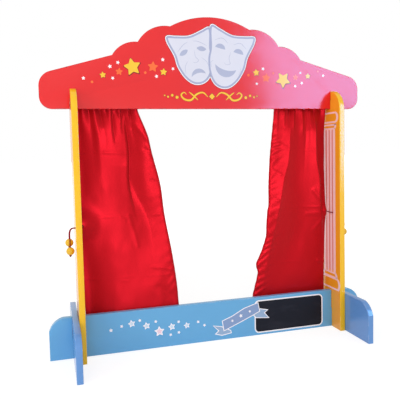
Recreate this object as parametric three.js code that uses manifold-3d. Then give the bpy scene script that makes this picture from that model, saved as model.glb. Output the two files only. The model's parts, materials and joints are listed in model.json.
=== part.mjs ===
// A table-top puppet theater: six painted boards that slot together, a rod with two satin
// curtains, and a beaded tie cord on each side. Millimetres, +Z up, the stage looks along -Y.
// The origin is on the floor, midway between the uprights and in the plane of the header board.

import * as THREE from "three";
import { mergeVertices } from "three/addons/utils/BufferGeometryUtils.js";
import Module from "manifold-3d";

const wasm = await Module();
wasm.setup();

// Boards, clearances and the faceting of round shapes.
const BOARD = 12; // thickness of every board
const FIT = 0.3; // gap kept between pieces that meet
const OVERRUN = 1; // how far a cutter runs past the face it opens
const ARC_STEPS = 12; // chords on a round stretch of a board's outline
const ROUND_STEPS = 24; // sides of a rod, a hole or a bead
const WELD = 1e-4; // points closer than this are one point

// Header board.
const HEADER_OVERHANG = 58; // past each upright's outer face
const HEADER_BOTTOM = 500; // height of the stage opening's upper edge above the floor
const HEADER_HEIGHT = 190; // from its bottom edge to the top of the crown
const HEADER_LOWER_CORNER = 24;
const HEADER_SHOULDER_CORNER = 30;
const shoulderHeightShare = 0.352; // of the header's height
const cuspShares = [
  // distance from the middle as a share of half the width, height as a share of the height
  [0.591, 0.563],
  [0.4406, 0.708],
  [0.2477, 0.884],
];
const lobeBulgeShares = [0.143, 0.153]; // rise of each lobe's arc as a share of its chord

// Uprights.
const STAGE_WIDTH = 560; // clear width between the uprights
const UPRIGHT_WIDTH = 88; // front edge to back edge
const UPRIGHT_HEIGHT = 540;

// Front rail and feet.
const RAIL_OVERHANG = 45.7; // past each foot's outer face
const FOOT_DEPTH = 264;
const BASE_HEIGHT = 85; // of the rail and of the feet
const CORNER_RUN = 28; // rounded upper corners of the rail and the feet: along the board
const CORNER_DROP = 27; // and down the board
const CORNER_BULGE = 5.6; // rise of that arc above its chord

// Curtain rod, held in blind sockets in the uprights.
const ROD_DIAMETER = 8;
const ROD_BACK = 17; // behind the header's middle plane
const ROD_RISE = 12; // above the header's lower edge
const SOCKET_DEPTH = 6;

// Curtains.
const CLOTH = 2.4; // thickness of the cloth with its lining air
const CURTAIN_HEM = 62; // height of the lower edge above the floor
const CASING_DIAMETER = 15; // gathered sleeve round the rod
const CASING_SINK = 5.5; // the hanging cloth starts this far under the rod's axis, inside the sleeve
const EDGE_GAP = 1; // between the cloth's outer edge and the upright
const GATHER_COUNT = 6;
const GATHER_DEPTH = 3.2;
const gatherFadeShare = 0.16; // of the hanging length, over which the gathers fade
const FOLD_DEPTH = 7;
const foldTopShare = 0.3; // a main fold's depth at the top, as a share of its full depth
const EDGE_CURL = 4; // the outer edge leans this far towards the stage front
const curlWidthShare = 0.08;
const CLOTH_COLUMN_COUNT = 34;
const CLOTH_ROW_COUNT = 13;

// Leading edges: [share of the hanging length from the top, share of half the stage covered].
const leadingEdgeShares = {
  left: [[0, 0.444], [0.16, 0.53], [0.45, 0.622], [0.75, 0.7], [1, 0.724]],
  right: [[0, 0.447], [0.214, 0.486], [0.45, 0.512], [0.655, 0.53], [0.8, 0.612], [1, 0.66]],
};
// Main folds: place at the top, place at the hem, width, all as shares of the cloth's width
// from its outer edge, then depth as a share of FOLD_DEPTH, negative towards the stage front.
const foldShares = {
  left: [[0.16, 0.14, 0.09, 0.9], [0.44, 0.56, 0.12, -1], [0.69, 0.7, 0.07, 0.8], [0.88, 0.9, 0.08, -0.7]],
  right: [[0.12, 0.14, 0.07, 0.6], [0.36, 0.34, 0.13, -1], [0.67, 0.77, 0.08, 1], [0.89, 0.9, 0.07, -0.8]],
};

// Tie cords with their beads.
const CORD_DIAMETER = 2.4;
const CORD_SIDE_COUNT = 8;
const CORD_STEP = 4.8; // length of one step of a cord's tube
const CORD_HOLE_DIAMETER = 6.4;
const CORD_HOLE_FRONT = 15; // in front of the header's middle plane
const CORD_HOLE_HEIGHT = 266;
const BEAD_DIAMETER = 16;
const BEAD_BORE = 3.4;
// The routes, [x, y, z] on the right-hand side; the left-hand side has x turned over.
const innerRoute = [
  [291.9, -15, 266], [286, -15, 266], [280.5, -15, 266], [277.2, -13.4, 266.1],
  [275.9, -9.6, 266.3], [275.7, -4.5, 266.5], [276, 1, 266.8], [276.4, 6, 267], [276.7, 10.9, 267.1],
];
const longRoute = [
  [292.2, -16.4, 266], [295.4, -16.5, 266.1], [298.6, -17, 265.2], [301.2, -18.1, 262.4],
  [302.6, -19.3, 257.8], [303, -20, 252], [303, -20, 244], [303, -20, 236], [303, -20, 228],
  [303, -20, 220], [303, -20, 212],
];
const shortRoute = [
  [292.2, -13.6, 266], [295.6, -13.5, 266.1], [299, -13, 265.2], [301.8, -11.9, 262.4],
  [303.5, -10.7, 257.8], [304, -10, 252], [304, -10, 244], [304, -10, 236], [304, -10, 227.6],
];
const lowerBeadPlace = [303, -20, 221.5];
const upperBeadPlace = [304, -10, 237];

// Colours and surfaces.
const paint = (color) => new THREE.MeshStandardMaterial({ color, roughness: 0.25, metalness: 0 });
const RED_PAINT = 0xee3338;
const YELLOW_PAINT = 0xfdc12b;
const RAIL_BLUE = 0x5a9bd5;
const FOOT_BLUE = 0x5f8fd6;
const wood = () => new THREE.MeshStandardMaterial({ color: 0xdcb98a, roughness: 0.6, metalness: 0 });
const satin = () => new THREE.MeshStandardMaterial({ color: 0xd3141f, roughness: 0.4, metalness: 0 });
const twine = () => new THREE.MeshStandardMaterial({ color: 0x5c0a16, roughness: 0.8, metalness: 0 });
const beadPaint = () => new THREE.MeshStandardMaterial({ color: 0xeab12e, roughness: 0.3, metalness: 0 });

// Places that follow from the sizes above.
const HALF = 0.5;
const innerFace = STAGE_WIDTH * HALF;
const outerFace = innerFace + BOARD;
const footInner = outerFace + FIT;
const footOuter = footInner + BOARD;
const slotHalf = BOARD * HALF + FIT;
const headerLapTop = UPRIGHT_HEIGHT; // the lap runs from the header's bottom to the upright's top
const headerLapMiddle = (HEADER_BOTTOM + headerLapTop) * HALF;
const railLapMiddle = BASE_HEIGHT * HALF;
const rodHeight = HEADER_BOTTOM + ROD_RISE;

// One corner of an outline: its place, its rounding, and the rise of the arc that leads to it.
const corner = (x, y, radius = 0, bulge = 0) => ({ at: new THREE.Vector2(x, y), radius, bulge });

// The points of an arc from one point to another, anticlockwise about a centre, ends included.
function arcPoints(centre, from, to, steps) {
  const start = Math.atan2(from.y - centre.y, from.x - centre.x);
  let sweep = Math.atan2(to.y - centre.y, to.x - centre.x) - start;
  if (sweep < 0) sweep += Math.PI * 2;
  const radius = centre.distanceTo(from);
  return Array.from({ length: steps + 1 }, (_, i) => {
    const angle = start + (sweep * i) / steps;
    return new THREE.Vector2(centre.x + radius * Math.cos(angle), centre.y + radius * Math.sin(angle));
  });
}

// The rounding of a corner between two straight runs, as the points of its arc.
function roundedCorner(previous, vertex, next, radius) {
  const back = previous.clone().sub(vertex).normalize();
  const ahead = next.clone().sub(vertex).normalize();
  const halfAngle = Math.acos(back.dot(ahead)) / 2;
  const reach = radius / Math.tan(halfAngle);
  const start = vertex.clone().addScaledVector(back, reach);
  const end = vertex.clone().addScaledVector(ahead, reach);
  const towardsCentre = back.clone().add(ahead).normalize();
  const centre = vertex.clone().addScaledVector(towardsCentre, radius / Math.sin(halfAngle));
  return arcPoints(centre, start, end, ARC_STEPS);
}

// The inner points of an arc that bulges outwards from the chord between two corners.
function bulgedRun(from, to, bulge) {
  const chord = to.clone().sub(from);
  const radius = (chord.lengthSq() / 4 + bulge * bulge) / (2 * bulge);
  const outwards = new THREE.Vector2(chord.y, -chord.x).normalize();
  const centre = from.clone().add(to).multiplyScalar(HALF).addScaledVector(outwards, bulge - radius);
  return arcPoints(centre, from, to, ARC_STEPS).slice(1, -1);
}

// A closed outline, anticlockwise, as a list of points.
function outlinePoints(corners) {
  return corners.flatMap((here, i) => {
    const before = corners[(i + corners.length - 1) % corners.length];
    const after = corners[(i + 1) % corners.length];
    const run = here.bulge > 0 ? bulgedRun(before.at, here.at, here.bulge) : [];
    const end = here.radius > 0 ? roundedCorner(before.at, here.at, after.at, here.radius) : [here.at];
    return [...run, ...end];
  });
}

function circlePoints(x, y, diameter, steps) {
  return Array.from({ length: steps }, (_, i) => {
    const angle = (Math.PI * 2 * i) / steps;
    return new THREE.Vector2(x + diameter * HALF * Math.cos(angle), y + diameter * HALF * Math.sin(angle));
  });
}

// Turns that lay an extruded outline across the stage (its plane is XZ) or along its depth (YZ).
const X = new THREE.Vector3(1, 0, 0);
const Y = new THREE.Vector3(0, 1, 0);
const Z = new THREE.Vector3(0, 0, 1);
const acrossTurn = new THREE.Matrix4().makeBasis(X, Z, Y.clone().negate());
const depthTurn = new THREE.Matrix4().makeBasis(Y, Z, X);

// A board cut to an outline, centred on its own thickness.
function board(points, turn, holes = []) {
  const shape = new THREE.Shape(points);
  shape.holes = holes.map((hole) => new THREE.Path(hole));
  const cut = new THREE.ExtrudeGeometry(shape, { depth: BOARD, bevelEnabled: false, steps: 1 });
  return cut.translate(0, 0, -BOARD * HALF).applyMatrix4(turn);
}

// A closed geometry as a solid that can be joined and cut, and back again.
function solidOf(geometry) {
  const bare = new THREE.BufferGeometry().setAttribute("position", geometry.getAttribute("position"));
  bare.setIndex(geometry.getIndex());
  const merged = mergeVertices(bare, WELD);
  return new wasm.Manifold(
    new wasm.Mesh({
      numProp: 3,
      vertProperties: merged.getAttribute("position").array,
      triVerts: new Uint32Array(merged.getIndex().array),
    }),
  );
}

function geometryOf(solid) {
  const mesh = solid.getMesh();
  return new THREE.BufferGeometry()
    .setAttribute("position", new THREE.BufferAttribute(mesh.vertProperties, 3))
    .setIndex(new THREE.BufferAttribute(mesh.triVerts, 1));
}

// A round bar along X between two places on that axis.
function barAlongX(diameter, from, to, y, z) {
  return new THREE.CylinderGeometry(diameter * HALF, diameter * HALF, to - from, ROUND_STEPS)
    .rotateZ(Math.PI / 2)
    .translate((from + to) * HALF, y, z);
}

// Header board: a scalloped pediment with two slots that drop over the uprights.
function headerGeometry() {
  const half = outerFace + HEADER_OVERHANG;
  const shoulder = HEADER_BOTTOM + HEADER_HEIGHT * shoulderHeightShare;
  const slotTop = headerLapMiddle + FIT;
  const cusps = cuspShares.map(([out, up]) => [half * out, HEADER_BOTTOM + HEADER_HEIGHT * up]);
  const lobe = (i) => {
    const [from, to] = [cusps[i], cusps[i + 1]];
    return Math.hypot(to[0] - from[0], to[1] - from[1]) * lobeBulgeShares[i];
  };
  const [low, middle, high] = cusps;
  const slot = (side) =>
    [
      corner(innerFace - FIT, HEADER_BOTTOM),
      corner(innerFace - FIT, slotTop),
      corner(outerFace + FIT, slotTop),
      corner(outerFace + FIT, HEADER_BOTTOM),
    ].map(({ at }) => corner(at.x * side, at.y));
  return board(
    outlinePoints([
      ...slot(-1).reverse(),
      ...slot(1),
      corner(half, HEADER_BOTTOM, HEADER_LOWER_CORNER),
      corner(half, shoulder, HEADER_SHOULDER_CORNER),
      corner(low[0], low[1]),
      corner(middle[0], middle[1], 0, lobe(0)),
      corner(high[0], high[1], 0, lobe(1)),
      corner(-high[0], high[1], 0, HEADER_BOTTOM + HEADER_HEIGHT - high[1]),
      corner(-middle[0], middle[1], 0, lobe(1)),
      corner(-low[0], low[1], 0, lobe(0)),
      corner(-half, shoulder, HEADER_SHOULDER_CORNER),
      corner(-half, HEADER_BOTTOM, HEADER_LOWER_CORNER),
    ]),
    acrossTurn,
  );
}

// Front rail: rounded upper corners, and on each side one slot for the upright and the foot.
function railGeometry() {
  const half = footOuter + RAIL_OVERHANG;
  const end = BASE_HEIGHT - CORNER_DROP;
  return board(
    outlinePoints([
      corner(-half, 0),
      corner(half, 0),
      corner(half, end),
      corner(half - CORNER_RUN, BASE_HEIGHT, 0, CORNER_BULGE),
      corner(footOuter + FIT, BASE_HEIGHT),
      corner(footOuter + FIT, railLapMiddle),
      corner(innerFace - FIT, railLapMiddle),
      corner(innerFace - FIT, BASE_HEIGHT),
      corner(FIT - innerFace, BASE_HEIGHT),
      corner(FIT - innerFace, railLapMiddle),
      corner(-footOuter - FIT, railLapMiddle),
      corner(-footOuter - FIT, BASE_HEIGHT),
      corner(CORNER_RUN - half, BASE_HEIGHT),
      corner(-half, end, 0, CORNER_BULGE),
    ]),
    acrossTurn,
  );
}

// Foot: a low board from front to back, slotted from below over the rail.
function footGeometry() {
  const half = FOOT_DEPTH * HALF;
  const end = BASE_HEIGHT - CORNER_DROP;
  const slotTop = railLapMiddle + FIT;
  return board(
    outlinePoints([
      corner(-half, 0),
      corner(-slotHalf, 0),
      corner(-slotHalf, slotTop),
      corner(slotHalf, slotTop),
      corner(slotHalf, 0),
      corner(half, 0),
      corner(half, end),
      corner(half - CORNER_RUN, BASE_HEIGHT, 0, CORNER_BULGE),
      corner(CORNER_RUN - half, BASE_HEIGHT),
      corner(-half, end, 0, CORNER_BULGE),
    ]),
    depthTurn,
  );
}

// Upright: a round top slotted for the header, a foot slotted for the rail, a hole for the tie
// cord and a blind socket for the rod in the face that looks at the other upright.
function uprightGeometry(side) {
  const half = UPRIGHT_WIDTH * HALF;
  const spring = UPRIGHT_HEIGHT - half; // where the round top starts
  const rise = Math.sqrt(half * half - slotHalf * slotHalf); // height of the round at the slot
  const centre = new THREE.Vector2(0, spring);
  const arcStart = new THREE.Vector2(half, spring);
  const arcEnd = new THREE.Vector2(slotHalf, spring + rise);
  const backArc = arcPoints(centre, arcStart, arcEnd, ARC_STEPS);
  const frontArc = backArc.map((point) => new THREE.Vector2(-point.x, point.y)).reverse();
  const points = [
    new THREE.Vector2(-half, 0),
    new THREE.Vector2(-slotHalf, 0),
    new THREE.Vector2(-slotHalf, railLapMiddle + FIT),
    new THREE.Vector2(slotHalf, railLapMiddle + FIT),
    new THREE.Vector2(slotHalf, 0),
    new THREE.Vector2(half, 0),
    ...backArc,
    new THREE.Vector2(slotHalf, headerLapMiddle),
    new THREE.Vector2(-slotHalf, headerLapMiddle),
    ...frontArc,
  ];
  const cordHole = circlePoints(-CORD_HOLE_FRONT, CORD_HOLE_HEIGHT, CORD_HOLE_DIAMETER, ROUND_STEPS);
  const cut = board(points, depthTurn, [cordHole]);
  const face = (-side * BOARD) / 2;
  const from = Math.min(face + side * SOCKET_DEPTH, face - side * OVERRUN);
  const to = Math.max(face + side * SOCKET_DEPTH, face - side * OVERRUN);
  const socket = barAlongX(ROD_DIAMETER + FIT * 2, from, to, ROD_BACK, rodHeight);
  return geometryOf(solidOf(cut).subtract(solidOf(socket)));
}

// Where a curtain's leading edge is at a share of the hanging length, as a share of half the stage.
function leadingEdge(name, down) {
  const stops = leadingEdgeShares[name];
  const next = Math.max(1, stops.findIndex(([at]) => at >= down));
  const [before, after] = [stops[next - 1], stops[next]];
  return THREE.MathUtils.mapLinear(down, before[0], after[0], before[1], after[1]);
}

// How far the cloth stands behind the rod's plane: gathers that fade down from the sleeve, main
// folds as bell-shaped ridges that deepen downwards, and the outer edge curled to the front.
function clothOffset(name, across, down) {
  const wave = Math.cos(Math.PI * 2 * GATHER_COUNT * across);
  const gathers = Math.exp(-down / gatherFadeShare) * GATHER_DEPTH * wave;
  const deepening = foldTopShare + (1 - foldTopShare) * THREE.MathUtils.smoothstep(down, 0, 1);
  const folds = foldShares[name].map(([top, hem, width, depth]) => {
    const place = THREE.MathUtils.lerp(top, hem, down);
    return depth * Math.exp(-(((across - place) / width) ** 2));
  });
  const curl = EDGE_CURL * Math.exp(-across / curlWidthShare) * (1 - Math.exp(-down / gatherFadeShare));
  return gathers + FOLD_DEPTH * deepening * folds.reduce((sum, fold) => sum + fold, 0) - curl;
}

// A curtain: a folded slab of cloth under a sleeve that is threaded on the rod.
function curtainGeometry(name, side) {
  const top = rodHeight - CASING_SINK;
  const outer = innerFace - EDGE_GAP;
  const point = (column, row, face) => {
    const u = column / CLOTH_COLUMN_COUNT;
    const across = side < 0 ? u : 1 - u;
    const down = row / CLOTH_ROW_COUNT;
    const width = outer - innerFace * (1 - leadingEdge(name, down));
    return [
      side * (outer - width * across),
      ROD_BACK + clothOffset(name, across, down) + face * CLOTH * HALF,
      THREE.MathUtils.lerp(top, CURTAIN_HEM, down),
    ];
  };
  const columns = CLOTH_COLUMN_COUNT + 1;
  const rows = CLOTH_ROW_COUNT + 1;
  const places = Array.from({ length: rows * columns }, (_, i) => [i % columns, Math.floor(i / columns)]);
  const positions = [-1, 1].flatMap((face) => places.flatMap(([column, row]) => point(column, row, face)));
  const index = (column, row, face) => (face > 0 ? rows * columns : 0) + row * columns + column;
  const faces = [];
  const quad = (a, b, c, d) => faces.push(a, b, c, a, c, d);
  for (let row = 0; row < CLOTH_ROW_COUNT; row += 1) {
    for (let column = 0; column < CLOTH_COLUMN_COUNT; column += 1) {
      const around = [[column, row], [column, row + 1], [column + 1, row + 1], [column + 1, row]];
      quad(...around.map(([c, r]) => index(c, r, -1)));
      quad(...around.reverse().map(([c, r]) => index(c, r, 1)));
    }
    quad(index(0, row, -1), index(0, row, 1), index(0, row + 1, 1), index(0, row + 1, -1));
    const last = CLOTH_COLUMN_COUNT;
    quad(index(last, row, 1), index(last, row, -1), index(last, row + 1, -1), index(last, row + 1, 1));
  }
  for (let column = 0; column < CLOTH_COLUMN_COUNT; column += 1) {
    const next = column + 1;
    const hem = CLOTH_ROW_COUNT;
    quad(index(column, 0, 1), index(column, 0, -1), index(next, 0, -1), index(next, 0, 1));
    quad(index(column, hem, -1), index(column, hem, 1), index(next, hem, 1), index(next, hem, -1));
  }
  const cloth = new THREE.BufferGeometry()
    .setAttribute("position", new THREE.Float32BufferAttribute(positions, 3))
    .setIndex(faces);
  const ends = [side * outer, side * innerFace * (1 - leadingEdge(name, 0))].sort((a, b) => a - b);
  const sleeve = barAlongX(CASING_DIAMETER, ends[0], ends[1], ROD_BACK, rodHeight);
  const bore = barAlongX(ROD_DIAMETER + FIT * 2, ends[0] - OVERRUN, ends[1] + OVERRUN, ROD_BACK, rodHeight);
  return geometryOf(solidOf(cloth).add(solidOf(sleeve)).subtract(solidOf(bore)));
}

// A cord along a route of chosen points, on one side of the stage.
function cordGeometry(route, side) {
  const path = new THREE.CatmullRomCurve3(
    route.map(([x, y, z]) => new THREE.Vector3(side * x, y, z)),
    false,
    "centripetal",
  );
  const section = new THREE.Shape(circlePoints(0, 0, CORD_DIAMETER, CORD_SIDE_COUNT));
  const steps = Math.round(path.getLength() / CORD_STEP);
  return new THREE.ExtrudeGeometry(section, { steps, extrudePath: path, bevelEnabled: false });
}

// A round bead with its bore upright: the profile runs up the ball and back down the bore.
function beadGeometry() {
  const radius = BEAD_DIAMETER * HALF;
  const edge = Math.acos(BEAD_BORE / BEAD_DIAMETER);
  const profile = Array.from({ length: ARC_STEPS + 1 }, (_, i) => {
    const angle = THREE.MathUtils.lerp(-edge, edge, i / ARC_STEPS);
    return new THREE.Vector2(radius * Math.cos(angle), radius * Math.sin(angle));
  });
  return new THREE.LatheGeometry([...profile, profile[0]], ROUND_STEPS).rotateX(Math.PI / 2);
}

// The scene: every piece is one named mesh.
const group = new THREE.Group();

function addPiece(name, geometry, material, x = 0, y = 0, z = 0) {
  const mesh = new THREE.Mesh(geometry, material);
  mesh.name = name;
  mesh.position.set(x, y, z);
  group.add(mesh);
}

addPiece("header_board", headerGeometry(), paint(RED_PAINT));
addPiece("front_rail", railGeometry(), paint(RAIL_BLUE));
const rodEnd = innerFace + SOCKET_DEPTH - FIT;
addPiece("curtain_rod", barAlongX(ROD_DIAMETER, -rodEnd, rodEnd, ROD_BACK, rodHeight), wood());

for (const [name, side] of [["left", -1], ["right", 1]]) {
  const uprightMiddle = side * (innerFace + outerFace) * HALF;
  const footMiddle = side * (footInner + footOuter) * HALF;
  addPiece(`${name}_upright`, uprightGeometry(side), paint(YELLOW_PAINT), uprightMiddle);
  addPiece(`${name}_foot`, footGeometry(), paint(FOOT_BLUE), footMiddle);
  addPiece(`${name}_curtain`, curtainGeometry(name, side), satin());
  addPiece(`${name}_cord_inner`, cordGeometry(innerRoute, side), twine());
  addPiece(`${name}_cord_long`, cordGeometry(longRoute, side), twine());
  addPiece(`${name}_cord_short`, cordGeometry(shortRoute, side), twine());
  for (const [bead, [x, y, z]] of [["lower", lowerBeadPlace], ["upper", upperBeadPlace]]) {
    addPiece(`${name}_${bead}_bead`, beadGeometry(), beadPaint(), side * x, y, z);
  }
}

export default group;
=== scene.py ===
"""A table-top puppet theater: painted boards, satin curtains on a rod and beaded tie cords.

Metres, +Z up. The stage looks along -Y, and the origin is on the floor, midway between the
uprights and in the middle plane of the header board.
"""

import json
import logging
import math
from dataclasses import dataclass, field
from enum import Enum
from typing import Callable, Sequence

import bpy
import numpy as np
from mathutils import Matrix, Vector

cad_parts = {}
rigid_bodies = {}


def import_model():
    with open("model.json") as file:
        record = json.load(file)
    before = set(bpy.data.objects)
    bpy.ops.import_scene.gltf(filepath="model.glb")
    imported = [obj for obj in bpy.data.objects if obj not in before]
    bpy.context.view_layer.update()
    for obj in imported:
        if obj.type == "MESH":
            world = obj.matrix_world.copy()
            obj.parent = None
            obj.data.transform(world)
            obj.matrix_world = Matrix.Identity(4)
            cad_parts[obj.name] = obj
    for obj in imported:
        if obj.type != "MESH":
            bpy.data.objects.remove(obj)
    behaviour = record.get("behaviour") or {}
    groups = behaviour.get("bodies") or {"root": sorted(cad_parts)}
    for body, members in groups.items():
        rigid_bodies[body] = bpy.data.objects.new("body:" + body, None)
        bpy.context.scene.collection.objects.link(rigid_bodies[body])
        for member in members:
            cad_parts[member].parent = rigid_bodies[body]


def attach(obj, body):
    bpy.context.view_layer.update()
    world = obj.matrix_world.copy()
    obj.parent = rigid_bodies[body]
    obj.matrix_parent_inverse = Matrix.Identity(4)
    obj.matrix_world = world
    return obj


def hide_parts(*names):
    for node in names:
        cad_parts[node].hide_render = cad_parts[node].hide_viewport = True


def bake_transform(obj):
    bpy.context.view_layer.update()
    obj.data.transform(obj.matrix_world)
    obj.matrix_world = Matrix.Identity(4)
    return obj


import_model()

LOG = logging.getLogger("puppet_theater")

MM = 0.001
HALF = 0.5
FULL_TURN = 2.0 * math.pi
SHARP_FROM = 36.0
WHITE_LIGHT = (1.0, 1.0, 1.0, 1.0)

Point = tuple[float, float]
Place = tuple[float, float, float]
Spot = tuple[float, float, float]
Hue = tuple[int, int, int]
Colour = tuple[float, float, float, float]


def colour(hue: Hue) -> Colour:
    """Turns a display colour into the linear light that a shader socket takes.

    Args:
        hue: Red, green and blue as they are seen, each from 0 to 255.

    Returns:
        Red, green and blue light from 0 to 1, and an alpha of 1.
    """
    shares = np.array(hue) / 255.0
    light = np.where(shares <= 0.04045, shares / 12.92, ((shares + 0.055) / 1.055) ** 2.4)
    return (float(light[0]), float(light[1]), float(light[2]), 1.0)


class Side(Enum):
    """The two sides of the stage, as the audience sees them."""

    LEFT = -1
    RIGHT = 1

    @property
    def label(self) -> str:
        """The side's word in the names of nodes and bodies."""
        return self.name.lower()


class Slot(Enum):
    """The record's material slots."""

    RED = "red_paint"
    RAIL = "rail_blue_paint"
    FOOT = "foot_blue_paint"
    YELLOW = "yellow_paint"
    WOOD = "bare_wood"
    SATIN = "red_satin"
    CORD = "dark_red_cord"
    BEAD = "bead_yellow"


class Lie(Enum):
    """How a board's outline lies: across the stage, in XZ, or along its depth, in YZ."""

    ACROSS = "across"
    DEPTH = "depth"

    def place(self, along: np.ndarray, up: np.ndarray, through: np.ndarray) -> np.ndarray:
        """Puts outline coordinates into the room.

        Args:
            along: Distance along the board.
            up: Height.
            through: Distance through the board, growing towards -Y for ACROSS and +X for DEPTH.

        Returns:
            An array of places with x, y and z last.
        """
        if self is Lie.ACROSS:
            return np.stack([along, -through, up], axis=-1)
        return np.stack([through, along, up], axis=-1)


@dataclass
class Shell:
    """Loose surface data.

    Attributes:
        points: Places, one row each.
        quads: Rows of four point numbers, turning left as seen from outside.
        caps: One array of point numbers for each flat many-sided face.
        rim: For each quad, 1 where it is part of an eased edge.
    """

    points: np.ndarray
    quads: np.ndarray
    caps: list[np.ndarray] = field(default_factory=list)
    rim: np.ndarray | None = None


@dataclass
class Layer:
    """A shell with the numbers of the materials on its quads and on its caps."""

    shell: Shell
    material: int = 0
    cap_material: int = 0


def grid_quads(rows: int, columns: int, wrap_rows: bool = False, wrap_columns: bool = False) -> np.ndarray:
    """Numbers the four-sided faces of a grid of points stored row by row.

    Args:
        rows: Number of rows.
        columns: Number of points in a row.
        wrap_rows: Whether the last row joins the first.
        wrap_columns: Whether the last point of a row joins its first.

    Returns:
        One row of four point numbers for each face.
    """
    row, column = np.meshgrid(
        np.arange(rows if wrap_rows else rows - 1),
        np.arange(columns if wrap_columns else columns - 1),
        indexing="ij",
    )
    next_row, next_column = (row + 1) % rows, (column + 1) % columns
    corners = [
        row * columns + column,
        row * columns + next_column,
        next_row * columns + next_column,
        next_row * columns + column,
    ]
    return np.stack(corners, axis=-1).reshape(-1, 4)


def end_caps(rows: int, columns: int) -> list[np.ndarray]:
    """The flat faces that close the first and the last ring of a grid of points."""
    return [np.arange(columns)[::-1], (rows - 1) * columns + np.arange(columns)]


def circle(angles: np.ndarray) -> np.ndarray:
    """The places (cos a, sin a) on a circle of radius 1."""
    return np.stack([np.cos(angles), np.sin(angles)], axis=-1)


def unit(vectors: np.ndarray) -> np.ndarray:
    """A vector, or each row of several, brought to a length of 1."""
    return vectors / np.linalg.norm(vectors, axis=-1, keepdims=True)


def arc_points(centre: np.ndarray, start: np.ndarray, end: np.ndarray, steps: int) -> np.ndarray:
    """Points of the shorter arc about a centre: centre + radius (cos a, sin a).

    Args:
        centre: The arc's centre.
        start: Its first point.
        end: Its last point.
        steps: Number of chords.

    Returns:
        The arc's points, both ends included.
    """
    first, last = start - centre, end - centre
    angle = math.atan2(first[1], first[0])
    sweep = (math.atan2(last[1], last[0]) - angle + math.pi) % FULL_TURN - math.pi
    return centre + np.linalg.norm(first) * circle(angle + sweep * np.linspace(0.0, 1.0, steps + 1))


@dataclass(frozen=True)
class Corner:
    """A corner of an outline.

    Attributes:
        at: Its place.
        radius: Radius of its rounding, 0 for a sharp corner.
        rise: Height above its chord of the arc that leads to this corner, negative where the arc
            bends inwards, 0 for a straight run.
    """

    at: Point
    radius: float = 0.0
    rise: float = 0.0


def rounded(before: np.ndarray, vertex: np.ndarray, after: np.ndarray, radius: float,
            steps: int) -> np.ndarray:
    """The arc that rounds a corner: its centre is on the bisector, radius / sin(half angle) away.

    Args:
        before: The corner before.
        vertex: The corner.
        after: The corner after.
        radius: Radius of the rounding.
        steps: Number of chords.

    Returns:
        The arc's points.
    """
    back, ahead = unit(before - vertex), unit(after - vertex)
    half_angle = math.acos(float(np.clip(back @ ahead, -1.0, 1.0))) * HALF
    reach = radius / math.tan(half_angle)
    centre = vertex + unit(back + ahead) * radius / math.sin(half_angle)
    return arc_points(centre, vertex + back * reach, vertex + ahead * reach, steps)


def bulged(start: np.ndarray, end: np.ndarray, rise: float, steps: int) -> np.ndarray:
    """The inner points of an arc over a chord: radius = (chord^2 / 4 + rise^2) / (2 rise).

    Args:
        start: Where the chord starts.
        end: Where it ends.
        rise: Height of the arc, to the right of the chord.
        steps: Number of chords on the arc.

    Returns:
        The arc's points without its ends.
    """
    chord = end - start
    radius = (chord @ chord / 4.0 + rise * rise) / (2.0 * rise)
    outwards = unit(np.array([chord[1], -chord[0]]))
    centre = (start + end) * HALF + outwards * (rise - radius)
    return arc_points(centre, start, end, steps)[1:-1]


def outline(corners: Sequence[Corner], steps: int = 24, corner_steps: int = 8) -> np.ndarray:
    """A closed outline, turning left all the way round.

    Args:
        corners: The outline's corners in order.
        steps: Number of chords on each long arc.
        corner_steps: Number of chords on each rounded corner.

    Returns:
        The outline's points, one row each.
    """
    at = [np.asarray(corner.at) for corner in corners]
    runs = []
    for number, corner in enumerate(corners):
        before, here, after = at[number - 1], at[number], at[(number + 1) % len(at)]
        if corner.rise != 0.0:
            runs.append(bulged(before, here, corner.rise, steps))
        rounds = corner.radius > 0.0
        runs.append(rounded(before, here, after, corner.radius, corner_steps) if rounds else here[None])
    return np.concatenate(runs)


def both_halves(right: Sequence[Corner], crown: float = 0.0) -> list[Corner]:
    """The corners of a symmetric outline, from those of its right half.

    Args:
        right: The right half's corners, from the bottom up.
        crown: Rise of the arc over the middle, 0 for a straight run.

    Returns:
        All corners, turning left, with a twin on the left for each arc on the right.
    """
    rises = [corner.rise for corner in right[1:]] + [crown]
    left = [Corner((-corner.at[0], corner.at[1]), corner.radius, rise) for corner, rise in zip(right, rises)]
    return [*right, *reversed(left)]


def left_turning(loop: np.ndarray) -> np.ndarray:
    """The loop in the order whose signed area, half the sum of x y' - x' y, is positive."""
    ahead = np.roll(loop, -1, axis=0)
    return loop if np.sum(loop[:, 0] * ahead[:, 1] - ahead[:, 0] * loop[:, 1]) > 0.0 else loop[::-1]


def inset(loop: np.ndarray, distance: float) -> np.ndarray:
    """Moves a left-turning loop inwards, each corner along its mitre (n1 + n2) / (1 + n1.n2)."""
    ahead = unit(np.roll(loop, -1, axis=0) - loop)
    inwards = np.stack([-ahead[:, 1], ahead[:, 0]], axis=-1)
    before = np.roll(inwards, 1, axis=0)
    cosine = np.clip(np.sum(inwards * before, axis=1, keepdims=True), -0.6, 1.0)
    return loop + distance * (inwards + before) / (1.0 + cosine)


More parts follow.
